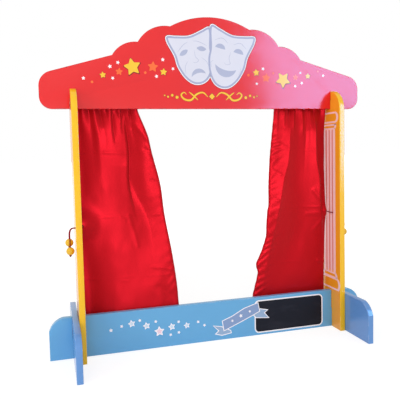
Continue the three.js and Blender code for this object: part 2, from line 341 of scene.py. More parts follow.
def plate(loop: np.ndarray, low: float, high: float, lie: Lie, ease: float = 0.0, steps: int = 4) -> Shell:
    """A flat board or film: rings of the outline through the thickness, drawn in towards both faces.

    At turn t of an eased edge, the ring is drawn in by ease (1 - cos t) and lies ease (1 - sin t)
    under the face.

    Args:
        loop: The outline, turning left.
        low: Where its lower face is through the thickness.
        high: Where its upper face is.
        lie: How the outline lies in the room.
        ease: Radius of the eased edges, 0 for square ones.
        steps: Number of chords on an eased edge.

    Returns:
        The closed surface, its two faces as caps.
    """
    turns = np.linspace(0.0, math.pi * HALF, steps + 1) if ease > 0.0 else np.zeros(1)
    drawn_in = ease * (1.0 - np.cos(turns))
    under = ease * (1.0 - np.sin(turns))
    insets = np.concatenate([drawn_in[::-1], drawn_in])
    levels = np.concatenate([low + under[::-1], high - under])
    rings = np.stack([inset(loop, float(distance)) for distance in insets])
    points = lie.place(rings[..., 0], rings[..., 1], np.broadcast_to(levels[:, None], rings.shape[:2]))
    rows, columns = rings.shape[:2]
    rim = np.ones((rows - 1, columns))
    rim[len(turns) - 1] = 0.0
    quads = grid_quads(rows, columns, wrap_columns=True)
    return Shell(points.reshape(-1, 3), quads, end_caps(rows, columns), rim.ravel())


def hoop(outer: np.ndarray, inner: np.ndarray, low: float, high: float, lie: Lie) -> Shell:
    """A flat line along a closed outline, as a film: four rings joined in a round.

    Args:
        outer: The line's outer edge, turning left.
        inner: Its inner edge, with as many points.
        low: Where its lower face is through the thickness.
        high: Where its upper face is.
        lie: How the outline lies in the room.

    Returns:
        The closed surface.
    """
    rings = np.stack([outer, outer, inner, inner])
    levels = np.array([low, high, high, low])[:, None]
    points = lie.place(rings[..., 0], rings[..., 1], np.broadcast_to(levels, rings.shape[:2]))
    return Shell(points.reshape(-1, 3), grid_quads(4, len(outer), wrap_rows=True, wrap_columns=True))


def turned(profile: np.ndarray, steps: int, wrap: bool) -> Shell:
    """A round piece about the Z axis: (r cos a, r sin a, z) for each profile point (r, z).

    Args:
        profile: Radius and height of each ring, going up the outside.
        steps: Number of sides.
        wrap: Whether the last ring joins the first, as round a bore; otherwise both ends are capped.

    Returns:
        The closed surface.
    """
    rings = profile[:, :1, None] * circle(np.linspace(0.0, FULL_TURN, steps, endpoint=False))
    heights = np.broadcast_to(profile[:, 1:, None], (len(profile), steps, 1))
    points = np.concatenate([rings, heights], axis=-1)
    quads = grid_quads(len(profile), steps, wrap_rows=wrap, wrap_columns=True)
    return Shell(points.reshape(-1, 3), quads, [] if wrap else end_caps(len(profile), steps))


def turned_along_x(profile: np.ndarray, steps: int, middle: Point) -> Shell:
    """A round piece about a line along X.

    Args:
        profile: Radius of each ring and its place along X.
        steps: Number of sides.
        middle: The line's y and z.

    Returns:
        The closed surface.
    """
    shell = turned(profile, steps, wrap=False)
    shell.points = shell.points[:, [2, 0, 1]] + np.array([0.0, *middle])
    return shell


def running_length(path: np.ndarray) -> np.ndarray:
    """The length along a path at each of its points."""
    return np.concatenate([[0.0], np.cumsum(np.linalg.norm(np.diff(path, axis=0), axis=1))])


def smooth_path(stops: np.ndarray, spacing: float, closed: bool = False) -> np.ndarray:
    """A curve of cubic pieces through chosen points, each slope being half the chord across its point.

    Args:
        stops: The chosen points, one row each.
        spacing: Distance between the points that are given back.
        closed: Whether the curve returns to its start.

    Returns:
        Points at an even spacing along the curve.
    """
    if closed:
        padded = np.concatenate([stops[-1:], stops, stops[:2]])
    else:
        padded = np.concatenate([2 * stops[:1] - stops[1:2], stops, 2 * stops[-1:] - stops[-2:-1]])
    p0, p1, p2, p3 = (part[:, None, :] for part in (padded[:-3], padded[1:-2], padded[2:-1], padded[3:]))
    share = np.linspace(0.0, 1.0, 24, endpoint=False)[None, :, None]
    slope1, slope2 = (p2 - p0) * HALF, (p3 - p1) * HALF
    bend = (
        (2 * share**3 - 3 * share**2 + 1) * p1
        + (share**3 - 2 * share**2 + share) * slope1
        + (3 * share**2 - 2 * share**3) * p2
        + (share**3 - share**2) * slope2
    ).reshape(-1, stops.shape[1])
    bend = np.concatenate([bend, stops[:1] if closed else stops[-1:]])
    run = running_length(bend)
    count = max(4, round(float(run[-1]) / spacing))
    wanted = np.linspace(0.0, run[-1], count + (0 if closed else 1), endpoint=not closed)
    return np.stack([np.interp(wanted, run, bend[:, axis]) for axis in range(stops.shape[1])], axis=-1)


def tube(path: np.ndarray, radius: Callable[[np.ndarray, np.ndarray], np.ndarray], up: Place,
         sides: int) -> Shell:
    """A tube along a path: each ring is path + radius (cos a n + sin a b), n and b square to the path.

    Args:
        path: The middle line, one row for each ring.
        radius: Gives the radius from the angle and the length along the path.
        up: A direction that the path never follows, which sets where the angle starts.
        sides: Number of points round the tube.

    Returns:
        The closed surface, with a cap at each end.
    """
    ahead = unit(np.gradient(path, axis=0))
    across = unit(np.cross(ahead, np.asarray(up)))
    normal = np.cross(ahead, across)
    angles = np.linspace(0.0, FULL_TURN, sides, endpoint=False)
    reach = radius(angles[None, :], running_length(path)[:, None])[..., None]
    turn = angles[None, :, None]
    points = path[:, None] + reach * (np.cos(turn) * across[:, None] + np.sin(turn) * normal[:, None])
    quads = grid_quads(len(path), sides, wrap_columns=True)
    return Shell(points.reshape(-1, 3), quads, end_caps(len(path), sides))


def smooth_step(share: np.ndarray) -> np.ndarray:
    """The soft step 3 t^2 - 2 t^3 of a share, held at 0 and 1 outside them."""
    held = np.clip(share, 0.0, 1.0)
    return held * held * (3.0 - 2.0 * held)


def soft_noise(along: np.ndarray, down: np.ndarray, cells: Point, seed: int) -> np.ndarray:
    """Smooth random heights from -1 to 1: values on a lattice, blended by the soft step.

    Args:
        along: Places along a surface.
        down: Places down it.
        cells: Size of a lattice cell along and down.
        seed: Which random lattice.

    Returns:
        A height for each place.
    """
    size = 64
    lattice = np.random.default_rng(seed).uniform(-1.0, 1.0, (size, size))
    a, b = along / cells[0], down / cells[1]
    low_a, low_b = np.floor(a).astype(int), np.floor(b).astype(int)
    share_a, share_b = smooth_step(a - low_a), smooth_step(b - low_b)
    i, j = low_a % size, low_b % size
    next_i, next_j = (i + 1) % size, (j + 1) % size
    near = lattice[i, j] * (1 - share_b) + lattice[i, next_j] * share_b
    far = lattice[next_i, j] * (1 - share_b) + lattice[next_i, next_j] * share_b
    return near * (1 - share_a) + far * share_a


def make_piece(name: str, layers: Sequence[Layer], materials: Sequence[bpy.types.Material],
               sharp_from: float = SHARP_FROM,
               cloth_places: np.ndarray | None = None) -> bpy.types.Object:
    """Joins shells into one piece, with its object at the origin.

    Args:
        name: The piece's name.
        layers: The shells with their material numbers.
        materials: The piece's materials.
        sharp_from: Faces that meet at more degrees than this keep a sharp edge.
        cloth_places: For each point its place on the flat cloth, in metres, for the UV map.

    Returns:
        The new object, linked to the scene.
    """
    starts = np.cumsum([0] + [len(layer.shell.points) for layer in layers])
    faces: list[list[int]] = []
    numbers: list[np.ndarray] = []
    rims: list[np.ndarray] = []
    flat: list[np.ndarray] = []
    for layer, start in zip(layers, starts):
        shell = layer.shell
        count, capped = len(shell.quads), len(shell.caps)
        faces += (shell.quads + start).tolist()
        faces += [(cap + start).tolist() for cap in shell.caps]
        numbers.append(np.repeat([layer.material, layer.cap_material], [count, capped]))
        rims.append(np.append(shell.rim if shell.rim is not None else np.zeros(count), np.zeros(capped)))
        flat.append(np.repeat([False, True], [count, capped]))
    mesh = bpy.data.meshes.new(name)
    mesh.from_pydata(np.concatenate([layer.shell.points for layer in layers]), [], faces)
    for material in materials:
        mesh.materials.append(material)
    mesh.polygons.foreach_set("material_index", np.concatenate(numbers).astype(np.int32))
    mesh.polygons.foreach_set("use_smooth", ~np.concatenate(flat))
    rim = mesh.attributes.new("rim", "FLOAT", "FACE")
    rim.data.foreach_set("value", np.concatenate(rims).astype(np.float32))
    if cloth_places is not None:
        corners = np.empty(len(mesh.loops), np.int32)
        mesh.loops.foreach_get("vertex_index", corners)
        flat_places = cloth_places[corners].astype(np.float32)
        mesh.uv_layers.new(name="cloth").data.foreach_set("uv", flat_places.ravel())
    mesh.set_sharp_from_angle(angle=math.radians(sharp_from))
    piece = bpy.data.objects.new(name, mesh)
    bpy.context.scene.collection.objects.link(piece)
    return piece


def bore(piece: bpy.types.Object, radius: float, middle: Point, span: Point) -> None:
    """Cuts a round hole along X into a piece and keeps the result as the piece's own mesh.

    Args:
        piece: The piece to cut.
        radius: The hole's radius.
        middle: The hole's middle, in y and z.
        span: Where the cutter starts and ends along X.
    """
    shell = turned_along_x(np.array([[radius, end] for end in span]), 40, middle)
    cutter = make_piece(f"{piece.name}_cutter", [Layer(shell)], [])
    cut = piece.modifiers.new("bore", "BOOLEAN")
    cut.operation, cut.solver, cut.object = "DIFFERENCE", "EXACT", cutter
    bpy.context.view_layer.update()
    evaluated = piece.evaluated_get(bpy.context.evaluated_depsgraph_get())
    uncut, piece.data = piece.data, bpy.data.meshes.new_from_object(evaluated)
    piece.data.set_sharp_from_angle(angle=math.radians(SHARP_FROM))
    piece.modifiers.clear()
    bpy.data.objects.remove(cutter)
    bpy.data.meshes.remove(uncut)


def present(piece: bpy.types.Object, body: str, slot: Slot | None, *nodes: str) -> None:
    """Hangs a piece on the body that it rides on and hides the nodes that it stands for.

    Args:
        piece: The piece.
        body: The body that it moves with.
        slot: Its material slot, or None for a print; not used.
        nodes: The frame's nodes that it replaces.
    """
    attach(piece, body)
    if nodes:
        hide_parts(*nodes)
    LOG.info("%s rides on %s", piece.name, body)


class ShaderNodes:
    """Places and joins the nodes of one shader tree."""

    def __init__(self, tree: bpy.types.NodeTree) -> None:
        """Starts on a tree that already exists."""
        self.tree = tree

    def add(self, kind: str, values: dict | None = None, **settings: object) -> bpy.types.Node:
        """Adds a node.

        Args:
            kind: The node's type, without its first word.
            values: Input sockets by name, each with a value or with a socket to join.
            settings: The node's own settings.

        Returns:
            The new node.
        """
        node = self.tree.nodes.new(f"ShaderNode{kind}")
        for key, setting in settings.items():
            setattr(node, key, setting)
        self.feed_all(node.inputs, values or {})
        return node

    def feed_all(self, sockets: bpy.types.bpy_prop_collection, values: dict) -> None:
        """Feeds sockets by name, each with a value or with a socket to join."""
        for key, value in values.items():
            self.feed(sockets[key], value)

    def feed(self, socket: bpy.types.NodeSocket, value: object) -> None:
        """Sets a socket to a value, or joins it to another socket."""
        if isinstance(value, bpy.types.NodeSocket):
            self.tree.links.new(value, socket)
        else:
            socket.default_value = value

    def place(self) -> bpy.types.NodeSocket:
        """The place on the piece, in metres."""
        return self.add("TexCoord").outputs["Object"]

    def bump(self, height: object, distance: float) -> bpy.types.NodeSocket:
        """A normal that follows a mask of heights, whose 1 is a distance in metres."""
        return self.add("Bump", {"Height": height, "Distance": distance}).outputs[0]

    def maths(self, operation: str, first: object, second: object = 0.0) -> bpy.types.NodeSocket:
        """The result of a sum on two numbers or sockets."""
        return self.add("Math", {0: first, 1: second}, operation=operation).outputs[0]

    def noise(self, place: object, scale: float, detail: float = 2.0,
              distortion: float = 0.0) -> bpy.types.NodeSocket:
        """A noise mask from 0 to 1 at a scale per metre."""
        values = {"Vector": place, "Scale": scale, "Detail": detail, "Distortion": distortion}
        return self.add("TexNoise", values).outputs[0]

    def span(self, value: object, low: float, high: float, first: float = 0.0,
             last: float = 1.0) -> bpy.types.NodeSocket:
        """Maps a mask from the span low to high to the span first to last, held at its ends."""
        values = {"Value": value, "From Min": low, "From Max": high, "To Min": first, "To Max": last}
        return self.add("MapRange", values).outputs[0]

    def mix(self, share: object, first: object, second: object, blend: str = "MIX") -> bpy.types.NodeSocket:
        """Mixes two colours by a share."""
        node = self.add("Mix", {0: share, 6: first, 7: second}, data_type="RGBA", blend_type=blend)
        return node.outputs[2]


Sockets = bpy.types.bpy_prop_collection
Fill = Callable[[ShaderNodes, Sockets, Sockets], None]


def shader_group(name: str, inputs: dict[str, object], outputs: dict[str, str],
                 fill: Fill) -> bpy.types.NodeTree:
    """Makes a shader node group with named sockets.

    Args:
        name: The group's name.
        inputs: Each input with its usual value: a number, a colour of four, or None for a place.
        outputs: Each output with its socket type.
        fill: Places the nodes between the group's inputs and its outputs.

    Returns:
        The group's tree.
    """
    tree = bpy.data.node_groups.new(name, "ShaderNodeTree")
    for label, usual in inputs.items():
        kind = "Vector" if usual is None else "Float" if isinstance(usual, float) else "Color"
        socket = tree.interface.new_socket(name=label, in_out="INPUT", socket_type=f"NodeSocket{kind}")
        if usual is not None:
            socket.default_value = usual
    for label, kind in outputs.items():
        tree.interface.new_socket(name=label, in_out="OUTPUT", socket_type=f"NodeSocket{kind}")
    source, target = tree.nodes.new("NodeGroupInput"), tree.nodes.new("NodeGroupOutput")
    fill(ShaderNodes(tree), source.outputs, target.inputs)
    return tree


def fill_paint_film(nodes: ShaderNodes, given: Sockets, wanted: Sockets) -> None:
    """Paint on board: soft mottling, patches of a second colour on the eased edges (worn paint, and painted
    shade on the red header) and the dimples of a sprayed coat.
    """
    place = given["Place"]
    darker = nodes.mix(1.0, given["Color"], (0.86, 0.84, 0.86, 1.0), blend="MULTIPLY")
    mottle = nodes.maths("MULTIPLY", nodes.noise(place, 22.0, detail=3.0), given["Mottle"])
    body = nodes.mix(mottle, given["Color"], darker)
    # Patches of the second colour on the eased edges: worn paint, and painted shade where that colour is
    # dark.
    rubbed_and_shaded = nodes.span(nodes.noise(place, 95.0, detail=4.0), 0.46, 0.62)
    rubbed_and_shaded = nodes.maths("MULTIPLY", rubbed_and_shaded, nodes.maths("MULTIPLY", given["Rim"], given["Wear"]))
    nodes.feed(wanted["Color"], nodes.mix(rubbed_and_shaded, body, given["Wear Color"]))
    smear = nodes.span(nodes.noise(place, 60.0), 0.3, 0.7, -0.03, 0.03)
    nodes.feed(wanted["Roughness"], nodes.maths("ADD", given["Roughness"], smear))
    dimples = nodes.maths("MULTIPLY", nodes.noise(place, 520.0, detail=1.0), 0.35)
    waves = nodes.maths("MULTIPLY", nodes.noise(place, 70.0, detail=1.0), 0.9)
    nodes.feed(wanted["Height"], nodes.maths("ADD", dimples, waves))


def fill_thread(nodes: ShaderNodes, given: Sockets, wanted: Sockets) -> None:
    """Fine threads: noise drawn out along the cloth's length, crossed by the waves of the weft."""
    drawn_out = nodes.add("Mapping", {"Vector": given["Place"], "Scale": (1.0, 0.09, 1.0)}).outputs[0]
    silk = nodes.noise(drawn_out, 900.0)
    values = {"Vector": given["Place"], "Scale": 420.0, "Distortion": 1.2}
    weft = nodes.add("TexWave", values, bands_direction="Y").outputs[1]
    height = nodes.maths("ADD", nodes.maths("MULTIPLY", silk, 0.8), nodes.maths("MULTIPLY", weft, 0.2))
    nodes.feed(wanted["Height"], height)
    nodes.feed(wanted["Mask"], silk)


def fill_wood_grain(nodes: ShaderNodes, given: Sockets, wanted: Sockets) -> None:
    """Wood: long fibres and faint rings, from noise that the place given has drawn out."""
    fibres = nodes.noise(given["Place"], 140.0, detail=5.0, distortion=0.6)
    values = {"Vector": given["Place"], "Scale": 28.0, "Distortion": 3.0, "Detail": 2.0}
    rings = nodes.add("TexWave", values).outputs[1]
    mask = nodes.maths("ADD", nodes.maths("MULTIPLY", fibres, 0.6), nodes.maths("MULTIPLY", rings, 0.4))
    nodes.feed(wanted["Mask"], mask)


class Groups:
    """The shader groups that several finishes share."""

    paint_film = shader_group(
        "paint_film",
        {"Place": None, "Color": WHITE_LIGHT, "Mottle": 0.3, "Rim": 0.0, "Wear": 0.2,
         "Wear Color": WHITE_LIGHT, "Roughness": 0.2},
        {"Color": "Color", "Roughness": "Float", "Height": "Float"},
        fill_paint_film,
    )
    thread = shader_group("thread", {"Place": None}, {"Height": "Float", "Mask": "Float"}, fill_thread)
    wood_grain = shader_group("wood_grain", {"Place": None}, {"Mask": "Float"}, fill_wood_grain)


def new_material(name: str) -> tuple[bpy.types.Material, ShaderNodes, bpy.types.Node]:
    """Makes a material with one Principled shader.

    Args:
        name: The material's name.

    Returns:
        The material, a helper on its nodes, and the Principled shader.
    """
    material = bpy.data.materials.new(name)
    material.use_nodes = True
    return material, ShaderNodes(material.node_tree), material.node_tree.nodes["Principled BSDF"]


@dataclass(frozen=True)
class Finish:
    """What a piece is coated with or made of.

    Attributes:
        name: The finish's name.
        hue: Its colour as it is seen.
    """

    name: str
    hue: Hue

    def inputs(self, nodes: ShaderNodes) -> dict[str, object]:
        """What the inputs of its shader take, by name."""
        raise NotImplementedError

    def material(self) -> bpy.types.Material:
        """Builds the finish's material."""
        material, nodes, shader = new_material(self.name)
        nodes.feed_all(shader.inputs, self.inputs(nodes))
        return material


@dataclass(frozen=True)
class GlossPaint(Finish):
    """Sprayed gloss paint on a board, or a print under the same varnish.

    Attributes:
        wear_hue: The colour that shows in patches on the eased edges: worn paint where it is light, painted
            shade where it is dark, as on the red header.
        roughness: Roughness of the varnish.
        wear: How much of the eased edges shows that colour.
        mottle: Strength of the soft mottling.
        dimple: Depth of the coat's dimples, in metres.
    """

    wear_hue: Hue = (235, 220, 200)
    roughness: float = 0.18
    wear: float = 0.2
    mottle: float = 0.35
    dimple: float = 0.000004

    def inputs(self, nodes: ShaderNodes) -> dict[str, object]:
        """The colour, roughness and dimples that the paint film gives back."""
        film = nodes.add("Group", {
            "Place": nodes.place(),
            "Color": colour(self.hue),
            "Mottle": self.mottle,
            "Rim": nodes.add("Attribute", attribute_name="rim").outputs["Fac"],
            "Wear": self.wear,
            "Wear Color": colour(self.wear_hue),
            "Roughness": self.roughness,
        }, node_tree=Groups.paint_film).outputs
        normal = nodes.bump(film["Height"], self.dimple)
        return {"Base Color": film["Color"], "Roughness": film["Roughness"], "Normal": normal}


class Ink(Enum):
    """The inks of the printed ornament."""

    WHITE = (253, 250, 255)
    BLUSH = (246, 214, 230)
    ICE = (206, 226, 246)
    YELLOW = (250, 200, 54)
    ORANGE = (250, 112, 52)
    STAR_SHADOW = (138, 22, 24)
    MASK = (220, 222, 238)
    MASK_EDGE = (168, 175, 208)
    MASK_FEATURE = (176, 183, 212)
    COLUMN = (255, 222, 224)
    COLUMN_SHADE = (226, 143, 129)
    BANNER = (134, 160, 204)
    BANNER_TAIL = (150, 178, 212)

    def finish(self) -> GlossPaint:
        """The ink under the board's varnish."""
        return GlossPaint(f"ink_{self.name.lower()}", self.value, wear=0.0, mottle=0.12)


@dataclass(frozen=True)
class Chalkboard(Finish):
    """Matt black writing surface with traces of wiped chalk.

    Attributes:
        dust_hue: The colour of the chalk that is left.
        roughness: Roughness of the clean surface.
        wipe_scale: Scale along X, Y and Z of the traces, which run across the board.
        wipe_turn: Their turn about X, Y and Z.
    """

    name: str = "chalkboard"
    hue: Hue = (22, 21, 29)
    dust_hue: Hue = (80, 80, 90)
    roughness: float = 0.6
    wipe_scale: Place = (0.35, 1.0, 1.0)
    wipe_turn: Place = (0.0, 0.3, 0.0)

    def inputs(self, nodes: ShaderNodes) -> dict[str, object]:
        """Black under cloudy dust, which makes it rougher."""
        place = nodes.place()
        wiped = nodes.add("Mapping", {"Vector": place, "Scale": self.wipe_scale, "Rotation": self.wipe_turn})
        dust = nodes.span(nodes.noise(wiped.outputs[0], 60.0, detail=5.0), 0.5, 0.85, 0.0, 0.2)
        return {
            "Base Color": nodes.mix(dust, colour(self.hue), colour(self.dust_hue)),
            "Roughness": nodes.span(dust, 0.0, 0.3, self.roughness, 0.8),
            "Specular IOR Level": 0.15,
            "Normal": nodes.bump(nodes.noise(place, 1600.0), 0.00002),
        }


@dataclass(frozen=True)
class Satin(Finish):
    """Red polyester satin: a soft sheen over fine threads.

    Attributes:
        deep_hue: The colour of the threads that lie deeper.
        gleam_hue: The colour of its sheen.
        roughness: Roughness of the sheen.
        thread: Height of the threads, in metres.
    """

    name: str = "red_satin"
    hue: Hue = (178, 20, 27)
    deep_hue: Hue = (162, 15, 21)
    gleam_hue: Hue = (255, 40, 60)
    roughness: float = 0.38
    thread: float = 0.00003

    def inputs(self, nodes: ShaderNodes) -> dict[str, object]:
        """Threads in two reds under a bright gloss and a little sheen."""
        place = nodes.add("UVMap", uv_map="cloth").outputs[0]
        threads = nodes.add("Group", {"Place": place}, node_tree=Groups.thread).outputs
        cloud = nodes.noise(place, 14.0)
        share = nodes.maths("MULTIPLY", threads["Mask"], cloud)
        return {
            "Base Color": nodes.mix(share, colour(self.hue), colour(self.deep_hue)),
            "Roughness": nodes.span(cloud, 0.3, 0.7, self.roughness - 0.04, self.roughness + 0.04),
            "Normal": nodes.bump(threads["Height"], self.thread),
            "IOR": 1.6,
            "Specular IOR Level": 1.0,
            "Specular Tint": colour(self.gleam_hue),
            "Sheen Weight": 0.05,
            "Sheen Roughness": 0.4,
            "Sheen Tint": colour(self.gleam_hue),
        }


@dataclass(frozen=True)
class BareWood(Finish):
    """Planed bare wood with its grain along one axis; its hue is the early wood's.

    Attributes:
        late_hue: The late wood.
        stretch: Scale of the grain along X, Y and Z.
    """

    name: str = "bare_wood"
    hue: Hue = (228, 194, 148)
    late_hue: Hue = (196, 150, 100)
    stretch: Place = (0.06, 1.0, 1.0)

    def inputs(self, nodes: ShaderNodes) -> dict[str, object]:
        """Early and late wood in a grain that also shows in its roughness and relief."""
        drawn_out = nodes.add("Mapping", {"Vector": nodes.place(), "Scale": self.stretch}).outputs[0]
        grain = nodes.add("Group", {"Place": drawn_out}, node_tree=Groups.wood_grain).outputs["Mask"]
        return {
            "Base Color": nodes.mix(grain, colour(self.hue), colour(self.late_hue)),
            "Roughness": nodes.span(grain, 0.0, 1.0, 0.5, 0.7),
            "Normal": nodes.bump(grain, 0.00008),
        }


@dataclass(frozen=True)
class Twine(Finish):
    """Dark red braided cord with a slight nap.

    Attributes:
        deep_hue: The colour between the nap's hairs, a painted shade on the nap's low parts.
        roughness: Its least roughness.
    """

    name: str = "dark_red_cord"
    hue: Hue = (158, 2, 30)
    deep_hue: Hue = (112, 0, 20)
    roughness: float = 0.75

    def inputs(self, nodes: ShaderNodes) -> dict[str, object]:
        """Two reds in a fine nap that also shows in its roughness and relief; the darker red on the nap's
        low parts is painted shade.
        """
        nap = nodes.noise(nodes.place(), 2600.0, detail=3.0)
        return {
            # Painted shade: the darker red goes where the nap's relief is low.
            "Base Color": nodes.mix(nap, colour(self.deep_hue), colour(self.hue)),
            "Roughness": nodes.span(nap, 0.3, 0.7, self.roughness, 0.9),
            "Normal": nodes.bump(nap, 0.00012),
            "Specular IOR Level": 0.2,
            "Sheen Weight": 0.06,
        }


# The red header's dark red on its eased edges is painted shade, standing for its cut edges in shadow.
RED_PAINT = GlossPaint("red_paint", (230, 31, 35), wear_hue=(158, 16, 32), wear=0.9)
RAIL_PAINT = GlossPaint("rail_blue_paint", (100, 173, 223), wear_hue=(200, 215, 230))
FOOT_PAINT = GlossPaint("foot_blue_paint", (100, 152, 216), wear_hue=(205, 215, 235))
EDGE_PAINT = GlossPaint("yellow_paint", (250, 195, 16), wear_hue=(245, 222, 150))
# The uprights' flat faces: the yellow paint made a deeper orange, which is painted shade with painted red
# light from the curtains in it.
FACE_PAINTED_SHADE = GlossPaint("yellow_face_paint", (248, 168, 40), wear_hue=(245, 222, 150))
BEAD_PAINT = GlossPaint("bead_yellow", (240, 190, 44), mottle=0.6, roughness=0.3, dimple=0.00002)


@dataclass
class PhotoCamera:
    """The camera where the photograph was taken.

    Attributes:
        place: Where it stands.
        yaw: Its turn towards +X, in radians.
        pitch: Its tilt downwards.
        roll: Its turn about its own line of sight.
        lens: Focal length, in millimetres.
        sensor: Width of the sensor, in millimetres.
        shift: Sideways and upwards shift of the frame, as shares of its width.
        clip: The nearest and the farthest distance that it sees.
    """

    place: Place = (-0.3349, -1.0476, 0.4090)
    yaw: float = 0.2734
    pitch: float = 0.0677
    roll: float = -0.0235
    lens: float = 46.23
    sensor: float = 36.0
    shift: Point = (0.0135, -0.0315)
    clip: Point = (0.01, 100.0)

    def build(self) -> None:
        """Makes the camera: its axes are right, up and back, rolled about the line of sight."""
        level, slope = math.cos(self.pitch), -math.sin(self.pitch)
        ahead = Vector((math.sin(self.yaw) * level, math.cos(self.yaw) * level, slope))
        right = Vector((math.cos(self.yaw), -math.sin(self.yaw), 0.0))
        up = right.cross(ahead)
        turn, lean = math.cos(self.roll), math.sin(self.roll)
        axes = (turn * right + lean * up, -lean * right + turn * up, -ahead)
        data = bpy.data.cameras.new("photo_camera")
        data.lens, data.sensor_width = self.lens, self.sensor
        data.shift_x, data.shift_y = self.shift
        data.clip_start, data.clip_end = self.clip
        camera = bpy.data.objects.new("photo_camera", data)
        camera.matrix_world = Matrix.Translation(self.place) @ Matrix(axes).transposed().to_4x4()
        bpy.context.scene.collection.objects.link(camera)
        bpy.context.scene.camera = camera
        LOG.info("camera at %s", self.place)


@dataclass
class TieCord:
    """One side's tie cord: its stretch to the curtain, and two beaded strands outside the upright.

    The routes are for the right-hand side, in millimetres; the left-hand side has x turned over.
    """

    side: Side
    cord_diameter: float = 2.4 * MM
    braid_pitch: float = 4.4 * MM
    braid_depth_share: float = 0.12
    bead_diameter: float = 16.0 * MM
    bead_bore: float = 3.4 * MM
    bead_lip: float = 0.5 * MM
    bead_countersink: float = 0.4 * MM
    knot_size: float = 0.6 * MM
    knot_rise: float = 0.6 * MM
    knot_depth: float = 1.1
    knot_span: Point = (0.55, FULL_TURN + 0.25)
    knot_rings: int = 160
    knot_cord_share: float = 0.8
    knot_up: Place = (0.03, 1.0, 0.02)
    knot_sides: int = 14
    cord_sides: int = 24
    cord_sharp_from: float = 60.0
    bead_sides: int = 56
    bead_rings: int = 41
    bead_sharp_from: float = 50.0
    ring_spacing: float = 0.45 * MM
    inner_route: tuple[Place, ...] = (
        (291.9, -15, 266), (286, -15, 266), (280.5, -15, 266), (277.2, -13.4, 266.1),
        (275.9, -9.6, 266.3), (275.7, -4.5, 266.5), (276, 1, 266.8), (276.4, 6, 267), (276.7, 10.9, 267.1),
    )
    long_route: tuple[Place, ...] = (
        (292.2, -16.4, 266), (295.4, -16.5, 266.1), (298.6, -17, 265.2), (301.2, -18.1, 262.4),
        (302.6, -19.3, 257.8), (303, -20, 252), (303, -20, 244), (303, -20, 236), (303, -20, 228),
        (303, -20, 220), (303, -20, 212),
    )
    short_route: tuple[Place, ...] = (
        (292.2, -13.6, 266), (295.6, -13.5, 266.1), (299, -13, 265.2), (301.8, -11.9, 262.4),
        (303.5, -10.7, 257.8), (304, -10, 252), (304, -10, 244), (304, -10, 236), (304, -10, 227.6),
    )
    lower_bead: Place = (303, -20, 221.5)
    upper_bead: Place = (304, -10, 237)

    def place(self, points: Sequence[Place]) -> np.ndarray:
        """Puts points in millimetres on this side of the stage, in metres."""
        return np.atleast_2d(points) * np.array([self.side.value, 1.0, 1.0]) * MM

    def braid(self, angle: np.ndarray, run: np.ndarray) -> np.ndarray:
        """The braided cord's radius: crossed waves, cos(3 a + t) cos(3 a - t), t growing along it."""
        turn = FULL_TURN * run / self.braid_pitch
        relief = np.cos(3.0 * angle + turn) * np.cos(3.0 * angle - turn)
        return self.cord_diameter * HALF * (1.0 - self.braid_depth_share * (1.0 - relief) * HALF)

    def strand(self, name: str, route: Sequence[Place], up: Place,
               twine: bpy.types.Material) -> tuple[bpy.types.Object, np.ndarray]:
        """Builds one stretch of cord.

        Args:
            name: The stretch's name.
            route: Its chosen points.
            up: A direction that the route never follows.
            twine: The cord's material.

        Returns:
            The piece and its middle line.
        """
        path = smooth_path(self.place(route), self.ring_spacing)
        shell = tube(path, self.braid, up, self.cord_sides)
        piece = make_piece(f"{self.side.label}_{name}_braid", [Layer(shell)], [twine], self.cord_sharp_from)
        return piece, path

    def bead(self, name: str, middle: Place, paint: bpy.types.Material) -> bpy.types.Object:
        """Builds a round bead: the profile runs up the ball and back down the bore.

        Args:
            name: The bead's name.
            middle: Its middle.
            paint: Its material.

        Returns:
            The piece.
        """
        radius, hole = self.bead_diameter * HALF, self.bead_bore * HALF
        edge = math.acos((hole + self.bead_lip) / radius)
        ball = radius * circle(np.linspace(-edge, edge, self.bead_rings))
        bore_half = ball[-1, 1] - self.bead_countersink
        mouth = np.array([[hole, bore_half], [hole, -bore_half]])
        shell = turned(np.concatenate([ball, mouth]), self.bead_sides, wrap=True)
        shell.points = shell.points + self.place([middle])
        label = f"{self.side.label}_{name}_bead_ball"
        return make_piece(label, [Layer(shell)], [paint], self.bead_sharp_from)

    def knot(self, name: str, top: np.ndarray, twine: bpy.types.Material) -> bpy.types.Object:
        """Builds an overhand knot, cut off close.

        The knot is a trefoil, (sin t + 2 sin 2t, -sin 3t, cos t - 2 cos 2t) with its depth along Y,
        pulled tight into the mouth of the bead's bore.

        Args:
            name: The knot's name.
            top: Where the cord comes into it.
            twine: The cord's material.

        Returns:
            The piece.
        """
        t = np.linspace(*self.knot_span, self.knot_rings)
        wide, high = np.sin(t) + 2 * np.sin(2 * t), np.cos(t) - 2 * np.cos(2 * t)
        trefoil = np.stack([wide, -np.sin(3 * t) * self.knot_depth, high], axis=-1)
        middle = top + np.array([0.0, 0.0, self.knot_rise])
        shell = tube(trefoil * self.knot_size + middle,
                     lambda angle, run: self.braid(angle, run) * self.knot_cord_share,
                     self.knot_up, self.knot_sides)
        return make_piece(f"{self.side.label}_{name}_knot", [Layer(shell)], [twine], self.cord_sharp_from)

    def build(self, twine: bpy.types.Material, paint: bpy.types.Material) -> None:
        """Args:
            twine: The cord's material.
            paint: The beads' material.
        """
        side, pull = self.side.label, f"{self.side.label}_pull"
        inner, path = self.strand("cord_inner", self.inner_route, (0.0, 0.0, 1.0), twine)
        present(inner, "frame", Slot.CORD, f"{side}_cord_inner")
        strands = {
            "long": (self.long_route, "lower", self.lower_bead),
            "short": (self.short_route, "upper", self.upper_bead),
        }
        for name, (route, bead_name, bead_place) in strands.items():
            cord, path = self.strand(f"cord_{name}", route, (0.0, 1.0, 0.0), twine)
            bead = self.bead(bead_name, bead_place, paint)
            knot = self.knot(name, path[-1], twine)
            present(cord, pull, Slot.CORD, f"{side}_cord_{name}")
            present(bead, pull, Slot.BEAD, f"{side}_{bead_name}_bead")
            present(knot, pull, Slot.CORD)


